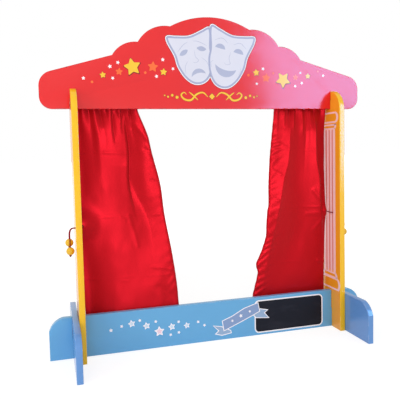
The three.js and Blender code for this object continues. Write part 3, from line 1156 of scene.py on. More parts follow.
@dataclass
class BoardSizes:
    """Sizes that all the boards share."""

    thickness: float = 12.0 * MM
    fit: float = 0.3 * MM
    ease: float = 1.1 * MM
    stage_half: float = 280.0 * MM
    base_height: float = 85.0 * MM
    corner_run: float = 28.0 * MM
    corner_drop: float = 27.0 * MM
    corner_rise: float = 5.6 * MM

    @property
    def outer_face(self) -> float:
        """How far out each upright's outer face is."""
        return self.stage_half + self.thickness

    @property
    def foot_inner(self) -> float:
        """How far out each foot's inner face is."""
        return self.outer_face + self.fit

    @property
    def slot_half(self) -> float:
        """Half the width of a slot."""
        return self.thickness * HALF + self.fit

    @property
    def lap_top(self) -> float:
        """The height to which the uprights and feet are slotted over the rail."""
        return self.base_height * HALF + self.fit

    def round_end(self, half: float) -> list[Corner]:
        """The end of the rail or of a foot, up to the arc over its upper corner."""
        return [
            Corner((half, 0.0)),
            Corner((half, self.base_height - self.corner_drop)),
            Corner((half - self.corner_run, self.base_height), rise=self.corner_rise),
        ]


def star_loop(middle: Point, radius: float, turn: float, waist_share: float = 0.52,
              softness: float = 0.07) -> np.ndarray:
    """The outline of a star: ten corners a tenth of a turn apart, far and near in turn."""
    angles = math.pi * HALF + turn + np.arange(10) * FULL_TURN / 10
    reach = np.where(np.arange(10) % 2 == 0, 1.0, waist_share) * radius
    places = np.asarray(middle) + reach[:, None] * circle(angles)
    return outline([Corner(tuple(place), radius * softness) for place in places], corner_steps=3)


def bar_loop(across: Point, up: Point, radius: float) -> np.ndarray:
    """A rectangle with round corners, from its spans."""
    (left, right), (low, high) = across, up
    places = ((left, low), (right, low), (right, high), (left, high))
    return outline([Corner(place, radius) for place in places], corner_steps=6)


@dataclass
class PrintSheet:
    """Ink films on one flat face of a board.

    Attributes:
        lie: How the face lies.
        face: Where the face is through the board.
        outwards: 1 where the film looks the way the distance grows, else -1.
        film: Thickness of one layer of ink.
        sunk: How deep the films reach into the board.
        shadow_shift: How far a star's dark rim is moved, as shares of its reach.
        shadow_share: How much larger that rim is.
        shadow_rim: How much wider it is besides.
        core_share: Size of the smaller star inside a star.
        pen_step: Distance between the points of a pen stroke.
        pen_ends: Where a stroke starts and ends in the swelling of its width.
        dot_steps: Number of corners of a dot.
        layers: The films with their inks.
    """

    lie: Lie
    face: float
    outwards: int
    film: float = 0.05 * MM
    sunk: float = 0.2 * MM
    shadow_shift: Point = (0.03, -0.05)
    shadow_share: float = 1.1
    shadow_rim: float = 0.5 * MM
    core_share: float = 0.62
    pen_step: float = 1.2 * MM
    pen_ends: Point = (0.02, 0.98)
    dot_steps: int = 20
    layers: list[tuple[Ink, Shell]] = field(default_factory=list)

    def span(self, level: int) -> Point:
        """Where a film of a level starts and ends through the board."""
        ends = (self.face - self.outwards * self.sunk, self.face + self.outwards * self.film * level)
        return (min(ends), max(ends))

    def area(self, ink: Ink, loop: np.ndarray, level: int) -> None:
        """Prints a filled outline."""
        self.layers.append((ink, plate(left_turning(loop), *self.span(level), self.lie)))

    def line(self, ink: Ink, loop: np.ndarray, width: float, level: int, stretch: float) -> None:
        """Prints a line just inside an outline, its upright strokes wider than the level ones by stretch."""
        squeeze = np.array([stretch, 1.0])
        outer = left_turning(loop)
        inner = inset(outer / squeeze, width) * squeeze
        self.layers.append((ink, hoop(outer, inner, *self.span(level), self.lie)))

    def stroke(self, ink: Ink, stops: Sequence[Point], width: float, level: int) -> None:
        """Prints a pen stroke along a smooth path, its width swelling as the root of sin(pi t)."""
        path = smooth_path(np.asarray(stops), self.pen_step)
        ahead = unit(np.gradient(path, axis=0))
        share = np.linspace(*self.pen_ends, len(path))[:, None]
        reach = np.stack([-ahead[:, 1], ahead[:, 0]], axis=-1) * width * HALF * np.sin(np.pi * share) ** 0.5
        self.area(ink, np.concatenate([path + reach, (path - reach)[::-1]]), level)

    def star(self, spot: Spot, ink: Ink, level: int = 2, turn: float = 0.0, shadow: bool = False,
             core: Ink | None = None) -> None:
        """Prints a fat five-pointed star with softened points.

        Args:
            spot: Its middle and its reach, in millimetres.
            ink: Its colour.
            level: Its film's level.
            turn: Its turn, in radians.
            shadow: Whether a dark rim shows round it.
            core: The colour of a smaller star inside it.
        """
        x, z, radius = (length * MM for length in spot)
        if shadow:
            low = (x + self.shadow_shift[0] * radius, z + self.shadow_shift[1] * radius)
            reach = radius * self.shadow_share + self.shadow_rim
            self.area(Ink.STAR_SHADOW, star_loop(low, reach, turn), level - 1)
        self.area(ink, star_loop((x, z), radius, turn), level)
        if core is not None:
            self.area(core, star_loop((x, z), radius * self.core_share, turn), level + 1)

    def dot(self, spot: Spot, ink: Ink, level: int = 2) -> None:
        """Prints a round dot, its middle and its radius in millimetres."""
        x, z, radius = (length * MM for length in spot)
        rim = radius * circle(np.linspace(0.0, FULL_TURN, self.dot_steps, endpoint=False))
        self.area(ink, np.array([x, z]) + rim, level)

    def piece(self, name: str, extra: Sequence[tuple[Shell, bpy.types.Material]] = ()) -> bpy.types.Object:
        """Joins the films into one piece.

        Args:
            name: The print's name.
            extra: More films, each with its own material.

        Returns:
            The piece.
        """
        inks = sorted({ink for ink, _ in self.layers}, key=lambda ink: ink.name)
        materials = [ink.finish().material() for ink in inks] + [material for _, material in extra]
        layers = [Layer(shell, inks.index(ink), inks.index(ink)) for ink, shell in self.layers]
        layers += [Layer(shell, len(inks) + i, len(inks) + i) for i, (shell, _) in enumerate(extra)]
        return make_piece(name, layers, materials)


class Mood(Enum):
    """The two faces of the stage."""

    COMEDY = "comedy"
    TRAGEDY = "tragedy"


@dataclass
class StageMask:
    """A plain theater mask: a shield with a dished top, drawn with a few strokes.

    Places on it are shares of its width and height, from its middle.
    """

    mood: Mood
    middle: Point
    size: Point
    turn: float
    level: int
    rim: float = 0.9 * MM
    halo: float = 1.6 * MM
    edge: float = 4.0 * MM
    brow_line: float = 0.9 * MM
    cheek_line: float = 0.7 * MM
    nose_line: float = 0.8 * MM
    shield: tuple[Point, ...] = (
        (0.0, -0.5), (0.17, -0.455), (0.31, -0.31), (0.395, -0.1), (0.41, 0.1), (0.49, 0.36), (0.465, 0.465),
        (0.28, 0.43), (0.0, 0.385),
    )

    def place(self, shares: Sequence[Point]) -> np.ndarray:
        """Turns shares of the mask into places on the board."""
        points = np.asarray(shares) * np.asarray(self.size)
        cosine, sine = math.cos(self.turn), math.sin(self.turn)
        return points @ np.array([[cosine, sine], [-sine, cosine]]) + np.asarray(self.middle)

    def lens(self, start: Point, end: Point, under: float, over: float) -> np.ndarray:
        """A shape between two arcs.

        Args:
            start: Its left end.
            end: Its right end.
            under: How far its lower arc bulges down, as a share of the mask's width.
            over: How far its upper arc bulges up.

        Returns:
            The outline.
        """
        ends = self.place([start, end])
        low, high = under * self.size[0], over * self.size[0]
        return outline([Corner(tuple(ends[0]), 0.0, high), Corner(tuple(ends[1]), 0.0, low)], steps=12)

    def build(self, sheet: PrintSheet) -> None:
        """Prints the mask's ground and its features."""
        half = list(self.shield)
        mirrored = [(-x, y) for x, y in reversed(half[1:-1])]
        loop = left_turning(smooth_path(self.place(half + mirrored), 1.5 * MM, closed=True))
        sheet.area(Ink.STAR_SHADOW, inset(loop, -self.halo - self.rim), 1)
        sheet.area(Ink.WHITE, inset(loop, -self.halo), 2)
        sheet.area(Ink.MASK_EDGE, loop, self.level)
        sheet.area(Ink.MASK, inset(loop, self.edge), self.level + 1)
        top = self.level + 2
        for way in (-1, 1):
            eye, brow, cheek = self.features(way)
            sheet.area(Ink.MASK_FEATURE, eye, top)
            sheet.stroke(Ink.MASK_FEATURE, self.place(brow), self.brow_line, top)
            sheet.stroke(Ink.MASK_FEATURE, self.place(cheek), self.cheek_line, top)
        nose = [(0.035, 0.12), (0.03, 0.0), (0.075, -0.075), (0.0, -0.105), (-0.06, -0.08)]
        sheet.stroke(Ink.MASK_FEATURE, self.place(nose), self.nose_line, top)
        if self.mood is Mood.COMEDY:
            mouth = self.lens((-0.23, -0.15), (0.23, -0.15), 0.2, -0.06)
        else:
            mouth = self.lens((-0.16, -0.34), (0.16, -0.34), -0.05, 0.14)
        sheet.area(Ink.MASK_FEATURE, mouth, top)

    def features(self, way: int) -> tuple[np.ndarray, list[Point], list[Point]]:
        """The eye, brow and cheek line on one side.

        Args:
            way: -1 or 1, the side of the face.

        Returns:
            The eye's outline, the brow's stops and the cheek line's stops.
        """
        if self.mood is Mood.COMEDY:
            eye, under, over = ((0.09, 0.13), (0.31, 0.13)), 0.005, 0.09
            brow = [(0.06, 0.245), (0.2, 0.3), (0.35, 0.235)]
            cheek = [(0.29, -0.09), (0.33, -0.14), (0.29, -0.22)]
        else:
            eye, under, over = ((0.1, 0.15), (0.3, 0.085)), 0.05, 0.05
            brow = [(0.05, 0.29), (0.17, 0.255), (0.33, 0.15)]
            cheek = [(0.15, -0.04), (0.24, -0.13), (0.27, -0.27)]
        start, end = sorted((way * x, y) for x, y in eye)
        shape = self.lens(start, end, under, over)
        return shape, [(way * x, y) for x, y in brow], [(way * x, y) for x, y in cheek]


@dataclass
class HeaderBoard:
    """The scalloped red board over the stage, with its stars, its two masks and a golden scroll."""

    board: BoardSizes
    overhang: float = 58.0 * MM
    bottom: float = 500.0 * MM
    height: float = 190.0 * MM
    lap: float = 20.0 * MM
    lower_corner: float = 24.0 * MM
    shoulder_corner: float = 30.0 * MM
    shoulder_share: float = 0.352
    cusp_shares: tuple[Point, ...] = ((0.591, 0.563), (0.4406, 0.708), (0.2477, 0.884))
    lobe_shares: Point = (0.143, 0.153)
    scroll_height: float = 526.0
    lozenge_reach: float = 6.5

    def outline(self) -> np.ndarray:
        """The board's outline, with one slot from below over each upright."""
        half, fit = self.board.outer_face + self.overhang, self.board.fit
        shoulder = self.bottom + self.height * self.shoulder_share
        cusps = [(half * x, self.bottom + self.height * z) for x, z in self.cusp_shares]
        lobes = [math.dist(*ends) * share for ends, share in zip(zip(cusps, cusps[1:]), self.lobe_shares)]
        near, far = self.board.stage_half - fit, self.board.outer_face + fit
        slot_top = self.bottom + self.lap + fit
        right = [
            Corner((near, self.bottom)),
            Corner((near, slot_top)),
            Corner((far, slot_top)),
            Corner((far, self.bottom)),
            Corner((half, self.bottom), self.lower_corner),
            Corner((half, shoulder), self.shoulder_corner),
            *[Corner(cusp, rise=rise) for cusp, rise in zip(cusps, [0.0, *lobes])],
        ]
        crown = self.bottom + self.height - cusps[-1][1]
        return outline(both_halves(right, crown), steps=36, corner_steps=14)

    def stars(self, sheet: PrintSheet) -> None:
        """Prints the stars and dots, each given by x, z and radius in millimetres."""
        white = [(-264.5, 560, 4), (-212, 584, 4.5), (-207, 561, 4), (-196, 592, 4), (-104, 600, 4.3),
                 (-118, 566, 4.2), (-83, 582, 3.8), (117, 586, 4.2), (102, 554, 3.6), (206, 579, 3.1),
                 (209, 557, 3.7), (193, 550, 3.7), (262, 574, 3.8)]
        yellow = {(-226.5, 567, 7): 0.1, (-167, 584, 18.7): 0.2, (-103, 575, 8): -0.1,
                  (101, 577.5, 8.3): 0.1, (164, 563, 18.4): 0.6, (224, 572, 6.9): 0.0}
        orange = [(-194, 574, 8), (-125, 585, 11.7), (124, 566.5, 10.8), (194, 569, 7.4)]
        dots = [(-248, 553, 2.5), (-141, 573, 2.6), (83, 572, 2.9), (141, 577, 2.4), (249, 583, 1.8)]
        for number, spot in enumerate(white):
            sheet.star(spot, Ink.WHITE, turn=0.3 * number)
        for spot, turn in yellow.items():
            sheet.star(spot, Ink.YELLOW, turn=turn, shadow=True)
        for spot in orange:
            sheet.star(spot, Ink.ORANGE, turn=-0.1)
        for spot in dots:
            sheet.dot(spot, Ink.ORANGE)

    def scroll(self, sheet: PrintSheet) -> None:
        """Prints a golden scroll under the masks: a lozenge between mirrored curls and dots.

        Its places are in millimetres, from the middle of the lozenge.
        """
        curl = [(9, -1), (20, 8), (34, 4), (46, -7.5), (60, -6), (67, 2.5), (61, 8), (55.5, 4)]
        sprig = [(31, -7.5), (41, 2), (50, 9)]
        dots = [(76, -2, 3.2), (86, 2, 2.7), (95, -1, 2.1), (102, 1.5, 1.6)]
        for ink, swell, level in ((Ink.STAR_SHADOW, 1.3, 1), (Ink.YELLOW, 0.0, 3)):
            for way in (-1, 1):
                for lift, (stops, width) in enumerate(((curl, 4.2), (sprig, 3.0))):
                    places = [(way * x * MM, (self.scroll_height + z) * MM) for x, z in stops]
                    sheet.stroke(ink, places, (width + swell) * MM, level + lift)
                for x, z, radius in dots:
                    sheet.dot((way * x, self.scroll_height + z, radius + swell * HALF), ink, level)
            reach = self.lozenge_reach + swell
            tips = ((0.0, -reach), (reach, 0.0), (0.0, reach), (-reach, 0.0))
            lozenge = [Corner((x * MM, (self.scroll_height + z) * MM), MM) for x, z in tips]
            sheet.area(ink, outline(lozenge, corner_steps=3), level)

    def build(self) -> None:
        """Builds the board and its print."""
        half = self.board.thickness * HALF
        shell = plate(self.outline(), -half, half, Lie.ACROSS, self.board.ease)
        piece = make_piece("header_board_painted", [Layer(shell)], [RED_PAINT.material()])
        present(piece, "frame", Slot.RED, "header_board")
        sheet = PrintSheet(Lie.ACROSS, half, 1)
        self.stars(sheet)
        self.scroll(sheet)
        StageMask(Mood.TRAGEDY, (-37 * MM, 607 * MM), (99 * MM, 113 * MM), 0.24, 3).build(sheet)
        StageMask(Mood.COMEDY, (36.5 * MM, 606 * MM), (104 * MM, 127 * MM), -0.24, 6).build(sheet)
        present(sheet.piece("header_print"), "frame", None)


@dataclass
class FrontRail:
    """The blue board across the front, with stars, a banner without words and a chalk panel."""

    board: BoardSizes
    overhang: float = 45.7 * MM
    panel_span: Point = (91.0 * MM, 254.0 * MM)
    panel_heights: Point = (7.5 * MM, 76.0 * MM)
    panel_corner: float = 8.0 * MM
    panel_line: float = 2.7 * MM
    banner_line: float = 1.7 * MM

    def outline(self) -> np.ndarray:
        """The board's outline: rounded upper corners, and a slot on each side for upright and foot."""
        b = self.board
        foot_outer, lap = b.foot_inner + b.thickness, b.base_height * HALF
        near, far = b.stage_half - b.fit, foot_outer + b.fit
        slot = ((far, b.base_height), (far, lap), (near, lap), (near, b.base_height))
        right = b.round_end(foot_outer + self.overhang) + [Corner(place) for place in slot]
        return outline(both_halves(right), steps=18)

    def panel_loop(self, grow: float) -> np.ndarray:
        """The chalk panel's outline, grown all round."""
        (left, right), (low, high) = self.panel_span, self.panel_heights
        return bar_loop((left - grow, right + grow), (low - grow, high + grow), self.panel_corner + grow)

    def banner(self, sheet: PrintSheet) -> None:
        """Prints a banner with three stars and two swallow tails, its corners in millimetres."""
        left_tail = [(-9, 33.7), (3.1, 20.8), (-5.1, 14), (11.6, 8.9), (34.2, 12.3), (32.5, 19.1),
                     (10.8, 30.2)]
        right_tail = [(91.6, 39.2), (124.2, 36.2), (113.2, 49.1), (121.8, 55.6), (101.7, 60.2),
                      (84.6, 46.7)]
        body = [(15.5, 18.1), (49.8, 31.6), (86, 46.4), (101.6, 53.5), (97.4, 74.8), (63.1, 64.9),
                (35, 50.4), (11.7, 42.1)]
        shapes = ((left_tail, Ink.BANNER_TAIL, 3), (right_tail, Ink.BANNER_TAIL, 3), (body, Ink.BANNER, 5))
        for points, ink, level in shapes:
            loop = left_turning(np.array(points) * MM)
            sheet.area(Ink.WHITE, loop, level)
            sheet.area(ink, inset(loop, self.banner_line), level + 1)
        for spot in ((36, 39.5, 3.4), (56, 48.5, 4.6), (77, 56, 3.4)):
            sheet.star(spot, Ink.WHITE, level=7, turn=0.38)

    def stars(self, sheet: PrintSheet) -> None:
        """Prints the rail's stars, each given by x, z and radius in millimetres."""
        for spot in ((-185, 58, 8.5), (-154, 50, 8.5), (-100, 42, 8.5), (-67, 41, 7.5)):
            sheet.star(spot, Ink.WHITE, turn=0.2, core=Ink.ICE)
        sheet.star((-127, 35, 11.8), Ink.WHITE, turn=0.05, core=Ink.BLUSH)
        sheet.star((-228, 49, 4.4), Ink.WHITE)
        small = [(-206, 55), (-168, 63), (-134.5, 57), (-85, 51), (-103, 25), (-85, 28), (-42, 46),
                 (-28, 37)]
        for x, z in small:
            sheet.star((x, z, 3.8), Ink.WHITE, turn=0.02 * x)

    def build(self) -> None:
        """Builds the board and its print."""
        half = self.board.thickness * HALF
        shell = plate(self.outline(), -half, half, Lie.ACROSS, self.board.ease)
        piece = make_piece("front_rail_painted", [Layer(shell)], [RAIL_PAINT.material()])
        present(piece, "frame", Slot.RAIL, "front_rail")
        sheet = PrintSheet(Lie.ACROSS, half, 1)
        self.stars(sheet)
        sheet.area(Ink.WHITE, self.panel_loop(self.panel_line), 1)
        self.banner(sheet)
        black = plate(self.panel_loop(0.0), *sheet.span(2), Lie.ACROSS)
        present(sheet.piece("rail_print", [(black, Chalkboard().material())]), "frame", None)


@dataclass
class Foot:
    """A blue foot from front to back, slotted from below over the rail, outside its upright."""

    board: BoardSizes
    side: Side
    depth: float = 264.0 * MM

    def outline(self) -> np.ndarray:
        """The foot's outline, with its slot in the middle."""
        b = self.board
        slot = [Corner((b.slot_half, b.lap_top)), Corner((b.slot_half, 0.0))]
        return outline(both_halves(slot + b.round_end(self.depth * HALF)), steps=18)

    def build(self) -> None:
        """Builds the foot."""
        inner, outer = self.board.foot_inner, self.board.foot_inner + self.board.thickness
        low, high = sorted((self.side.value * inner, self.side.value * outer))
        shell = plate(self.outline(), low, high, Lie.DEPTH, self.board.ease)
        name = f"{self.side.label}_foot"
        piece = make_piece(f"{name}_painted", [Layer(shell)], [FOOT_PAINT.material()])
        present(piece, "frame", Slot.FOOT, name)


@dataclass
class ColumnPrint:
    """The fluted column printed on an upright's inner face, in pale pink with darker flutes.

    Attributes:
        line: Width of the mouldings' level lines.
        line_stretch: How much wider their upright lines are.
        shaft_span: The heights between which the shaft runs.
        shaft_lines: Middle and half width of each of the shaft's bands.
        flute_half: Half the width of a flute.
        flute_ends: How far a flute ends above the shaft's foot and under its top.
        flute_corner: Radius of a flute's corners.
        mouldings: Bottom, top, half width at the bottom, half width at the top and rise of the
            bulging ends of each moulding of the capital and the base, in millimetres.
    """

    line: float = 3.7 * MM
    line_stretch: float = 2.0
    shaft_span: Point = (127.0 * MM, 457.0 * MM)
    shaft_lines: tuple[Point, ...] = (
        (-20.2 * MM, 4.7 * MM), (-6.6 * MM, 3.9 * MM), (6.6 * MM, 3.9 * MM), (20.2 * MM, 4.7 * MM),
    )
    flute_half: float = 3.4 * MM
    flute_ends: Point = (6.0 * MM, 5.0 * MM)
    flute_corner: float = 3.0 * MM
    mouldings: tuple[tuple[float, ...], ...] = (
        (468, 492.5, 25.5, 26.5, 12.0),
        (453.5, 465.5, 25.0, 30.5, 1.5),
        (115, 128.5, 32.5, 25, 2.5),
        (89, 116.5, 37, 33, 8.5),
    )

    def build(self, sheet: PrintSheet) -> None:
        """Prints the shaft with its flutes, the capital and the base, each moulding on its own level."""
        low, high = self.shaft_span
        for middle, half in self.shaft_lines:
            sheet.area(Ink.COLUMN, bar_loop((middle - half, middle + half), (low, high), MM), 2)
        flute = (low + self.flute_ends[0], high - self.flute_ends[1])
        for (before, _), (after, _) in zip(self.shaft_lines, self.shaft_lines[1:]):
            y = (before + after) * HALF
            loop = bar_loop((y - self.flute_half, y + self.flute_half), flute, self.flute_corner)
            sheet.area(Ink.COLUMN_SHADE, loop, 1)
        for level, moulding in enumerate(self.mouldings, 3):
            bottom, top, half_low, half_high, rise = (length * MM for length in moulding)
            right = [Corner((half_low, bottom)), Corner((half_high, top), rise=rise)]
            loop = outline(both_halves(right), steps=10)
            sheet.line(Ink.COLUMN, loop, self.line, level, self.line_stretch)


@dataclass
class Upright:
    """A yellow upright: round top slotted for the header, foot slotted for the rail, two holes."""

    board: BoardSizes
    side: Side
    width: float = 88.0 * MM
    height: float = 540.0 * MM
    header_lap: float = 520.0 * MM
    cord_hole: float = 6.4 * MM
    cord_hole_place: Point = (-15.0 * MM, 266.0 * MM)
    rod_hole: float = 8.6 * MM
    rod_hole_place: Point = (17.0 * MM, 512.0 * MM)
    rod_hole_depth: float = 6.0 * MM

    def outline(self) -> np.ndarray:
        """The upright's outline: the round top's two arcs have the upright's half width as radius."""
        half, slot = self.width * HALF, self.board.slot_half
        spring = self.height - half
        crest = spring + math.sqrt(half * half - slot * slot)
        rise = half * (1.0 - math.cos((math.pi * HALF - math.asin(slot / half)) * HALF))
        return outline(both_halves([
            Corner((slot, self.board.lap_top)),
            Corner((slot, 0.0)),
            Corner((half, 0.0)),
            Corner((half, spring)),
            Corner((slot, crest), rise=rise),
            Corner((slot, self.header_lap)),
        ]), steps=28)

    def build(self) -> None:
        """Builds the upright, cuts its holes and prints its column."""
        way, b = self.side.value, self.board
        low, high = sorted((way * b.stage_half, way * b.outer_face))
        shell = plate(self.outline(), low, high, Lie.DEPTH, b.ease)
        name = f"{self.side.label}_upright"
        # The edges take the yellow paint; the flat faces take its deeper orange copy, which is painted shade
        # with painted red light from the curtains.
        materials = [EDGE_PAINT.material(), FACE_PAINTED_SHADE.material()]
        piece = make_piece(f"{name}_painted", [Layer(shell, 0, 1)], materials)
        bore(piece, self.cord_hole * HALF, self.cord_hole_place, (low - MM, high + MM))
        ends = sorted((way * (b.stage_half - MM), way * (b.stage_half + self.rod_hole_depth)))
        bore(piece, self.rod_hole * HALF, self.rod_hole_place, (ends[0], ends[1]))
        present(piece, "frame", Slot.YELLOW, name)
        sheet = PrintSheet(Lie.DEPTH, way * b.stage_half, -way)
        ColumnPrint().build(sheet)
        present(sheet.piece(f"{self.side.label}_column_print"), "frame", None)


@dataclass
class CurtainRod:
    """The wooden rod behind the header, with its ends in the uprights' sockets."""

    diameter: float = 8.0 * MM
    half_length: float = 285.7 * MM
    back: float = 17.0 * MM
    height: float = 512.0 * MM
    chamfer: float = 0.7 * MM
    rings: int = 60
    sides: int = 48

    def build(self) -> None:
        """Builds the rod as a turned profile laid along X."""
        radius, end = self.diameter * HALF, self.half_length
        straight = np.linspace(self.chamfer - end, end - self.chamfer, self.rings)
        places = np.concatenate([[-end], straight, [end]])
        radii = np.full(len(places), radius)
        radii[[0, -1]] = radius - self.chamfer
        shell = turned_along_x(np.stack([radii, places], axis=-1), self.sides, (self.back, self.height))
        piece = make_piece("curtain_rod_dowel", [Layer(shell)], [BareWood().material()])
        present(piece, "frame", Slot.WOOD, "curtain_rod")


@dataclass(frozen=True)
class Fold:
    """A long fold in the hanging cloth, along a line of stops (x, z) in millimetres.

    Attributes:
        stops: The fold's line, from the top down.
        depths: How far the cloth goes back at each stop, negative where it comes to the front.
        widths: How wide the fold is towards -X and towards +X.
        powers: How round it is towards -X and towards +X: 2 as round as a bell, 1 a sharp crease.
    """

    stops: tuple[Point, ...]
    depths: tuple[float, ...]
    widths: Point
    powers: Point = (2.0, 2.0)

    def offset(self, x: np.ndarray, z: np.ndarray) -> np.ndarray:
        """How far the cloth goes back: depth exp(-(d / width)^power), d the distance from the line."""
        line = smooth_path(np.column_stack([np.array(self.stops), self.depths]), 2.0)[::-1]
        middle = np.interp(z, line[:, 1], line[:, 0])
        depth = np.interp(z, line[:, 1], line[:, 2])
        distance = x - middle
        width = np.where(distance < 0.0, self.widths[0], self.widths[1])
        power = np.where(distance < 0.0, self.powers[0], self.powers[1])
        return depth * np.exp(-(np.abs(distance / width) ** power))


@dataclass(frozen=True)
class Crease:
    """A short crease in the cloth between two places (x, z) in millimetres.

    Attributes:
        start: Where it starts.
        end: Where it ends.
        depth: How far the cloth goes back there, negative where it comes to the front.
        width: How wide it is.
    """

    start: Point
    end: Point
    depth: float
    width: float

    def offset(self, x: np.ndarray, z: np.ndarray) -> np.ndarray:
        """How far the cloth goes back: depth exp(-(d / width)^2), faded out past both ends."""
        run = np.subtract(self.end, self.start)
        length = float(np.hypot(*run))
        along = ((x - self.start[0]) * run[0] + (z - self.start[1]) * run[1]) / length
        across = ((x - self.start[0]) * run[1] - (z - self.start[1]) * run[0]) / length
        past = np.maximum(np.maximum(-along, along - length), 0.0) / self.width
        return self.depth * np.exp(-((across / self.width) ** 2) - past**2)


@dataclass(frozen=True)
class Waves:
    """Random waves in the cloth.

    Attributes:
        depth: How far they go either way.
        cells: Size of the noise's cells across and down.
        seed: Which noise, counted on from the curtain's seed.
    """

    depth: float
    cells: Point
    seed: int

    def offset(self, across: np.ndarray, down: np.ndarray, seed: int) -> np.ndarray:
        """The waves at places on the cloth, for a curtain's seed."""
        return self.depth * soft_noise(across, down, self.cells, seed + self.seed)


@dataclass(frozen=True)
class Ruffle:
    """A row of gathers under the seam.

    Attributes:
        count: How many there are across the cloth.
        depth: How far they stand out.
        reach: How far down they fade.
        fading: The power of that fading.
        wander: How far they wander, in gathers.
        softness: How round their valleys are.
    """

    count: float
    depth: float
    reach: float
    fading: float
    wander: Waves
    softness: float = 0.015

    def offset(self, across: np.ndarray, down: np.ndarray, seed: int) -> np.ndarray:
        """Rounded ridges to the front and sharp valleys: 1 - 2 |cos(a / 2)|, a wandering with noise.

        Args:
            across: Share of the width from the outer edge.
            down: Distance below the seam.
            seed: The curtain's seed.

        Returns:
            How far the cloth goes back.
        """
        wander = self.wander.offset(across, np.zeros_like(across), seed)
        waves = np.cos(math.pi * (self.count * across + wander)) ** 2
        ridges = 1.0 - 2.0 * np.sqrt(waves + self.softness) / math.sqrt(1.0 + self.softness)
        return self.depth * ridges * np.exp(-((down / self.reach) ** self.fading))


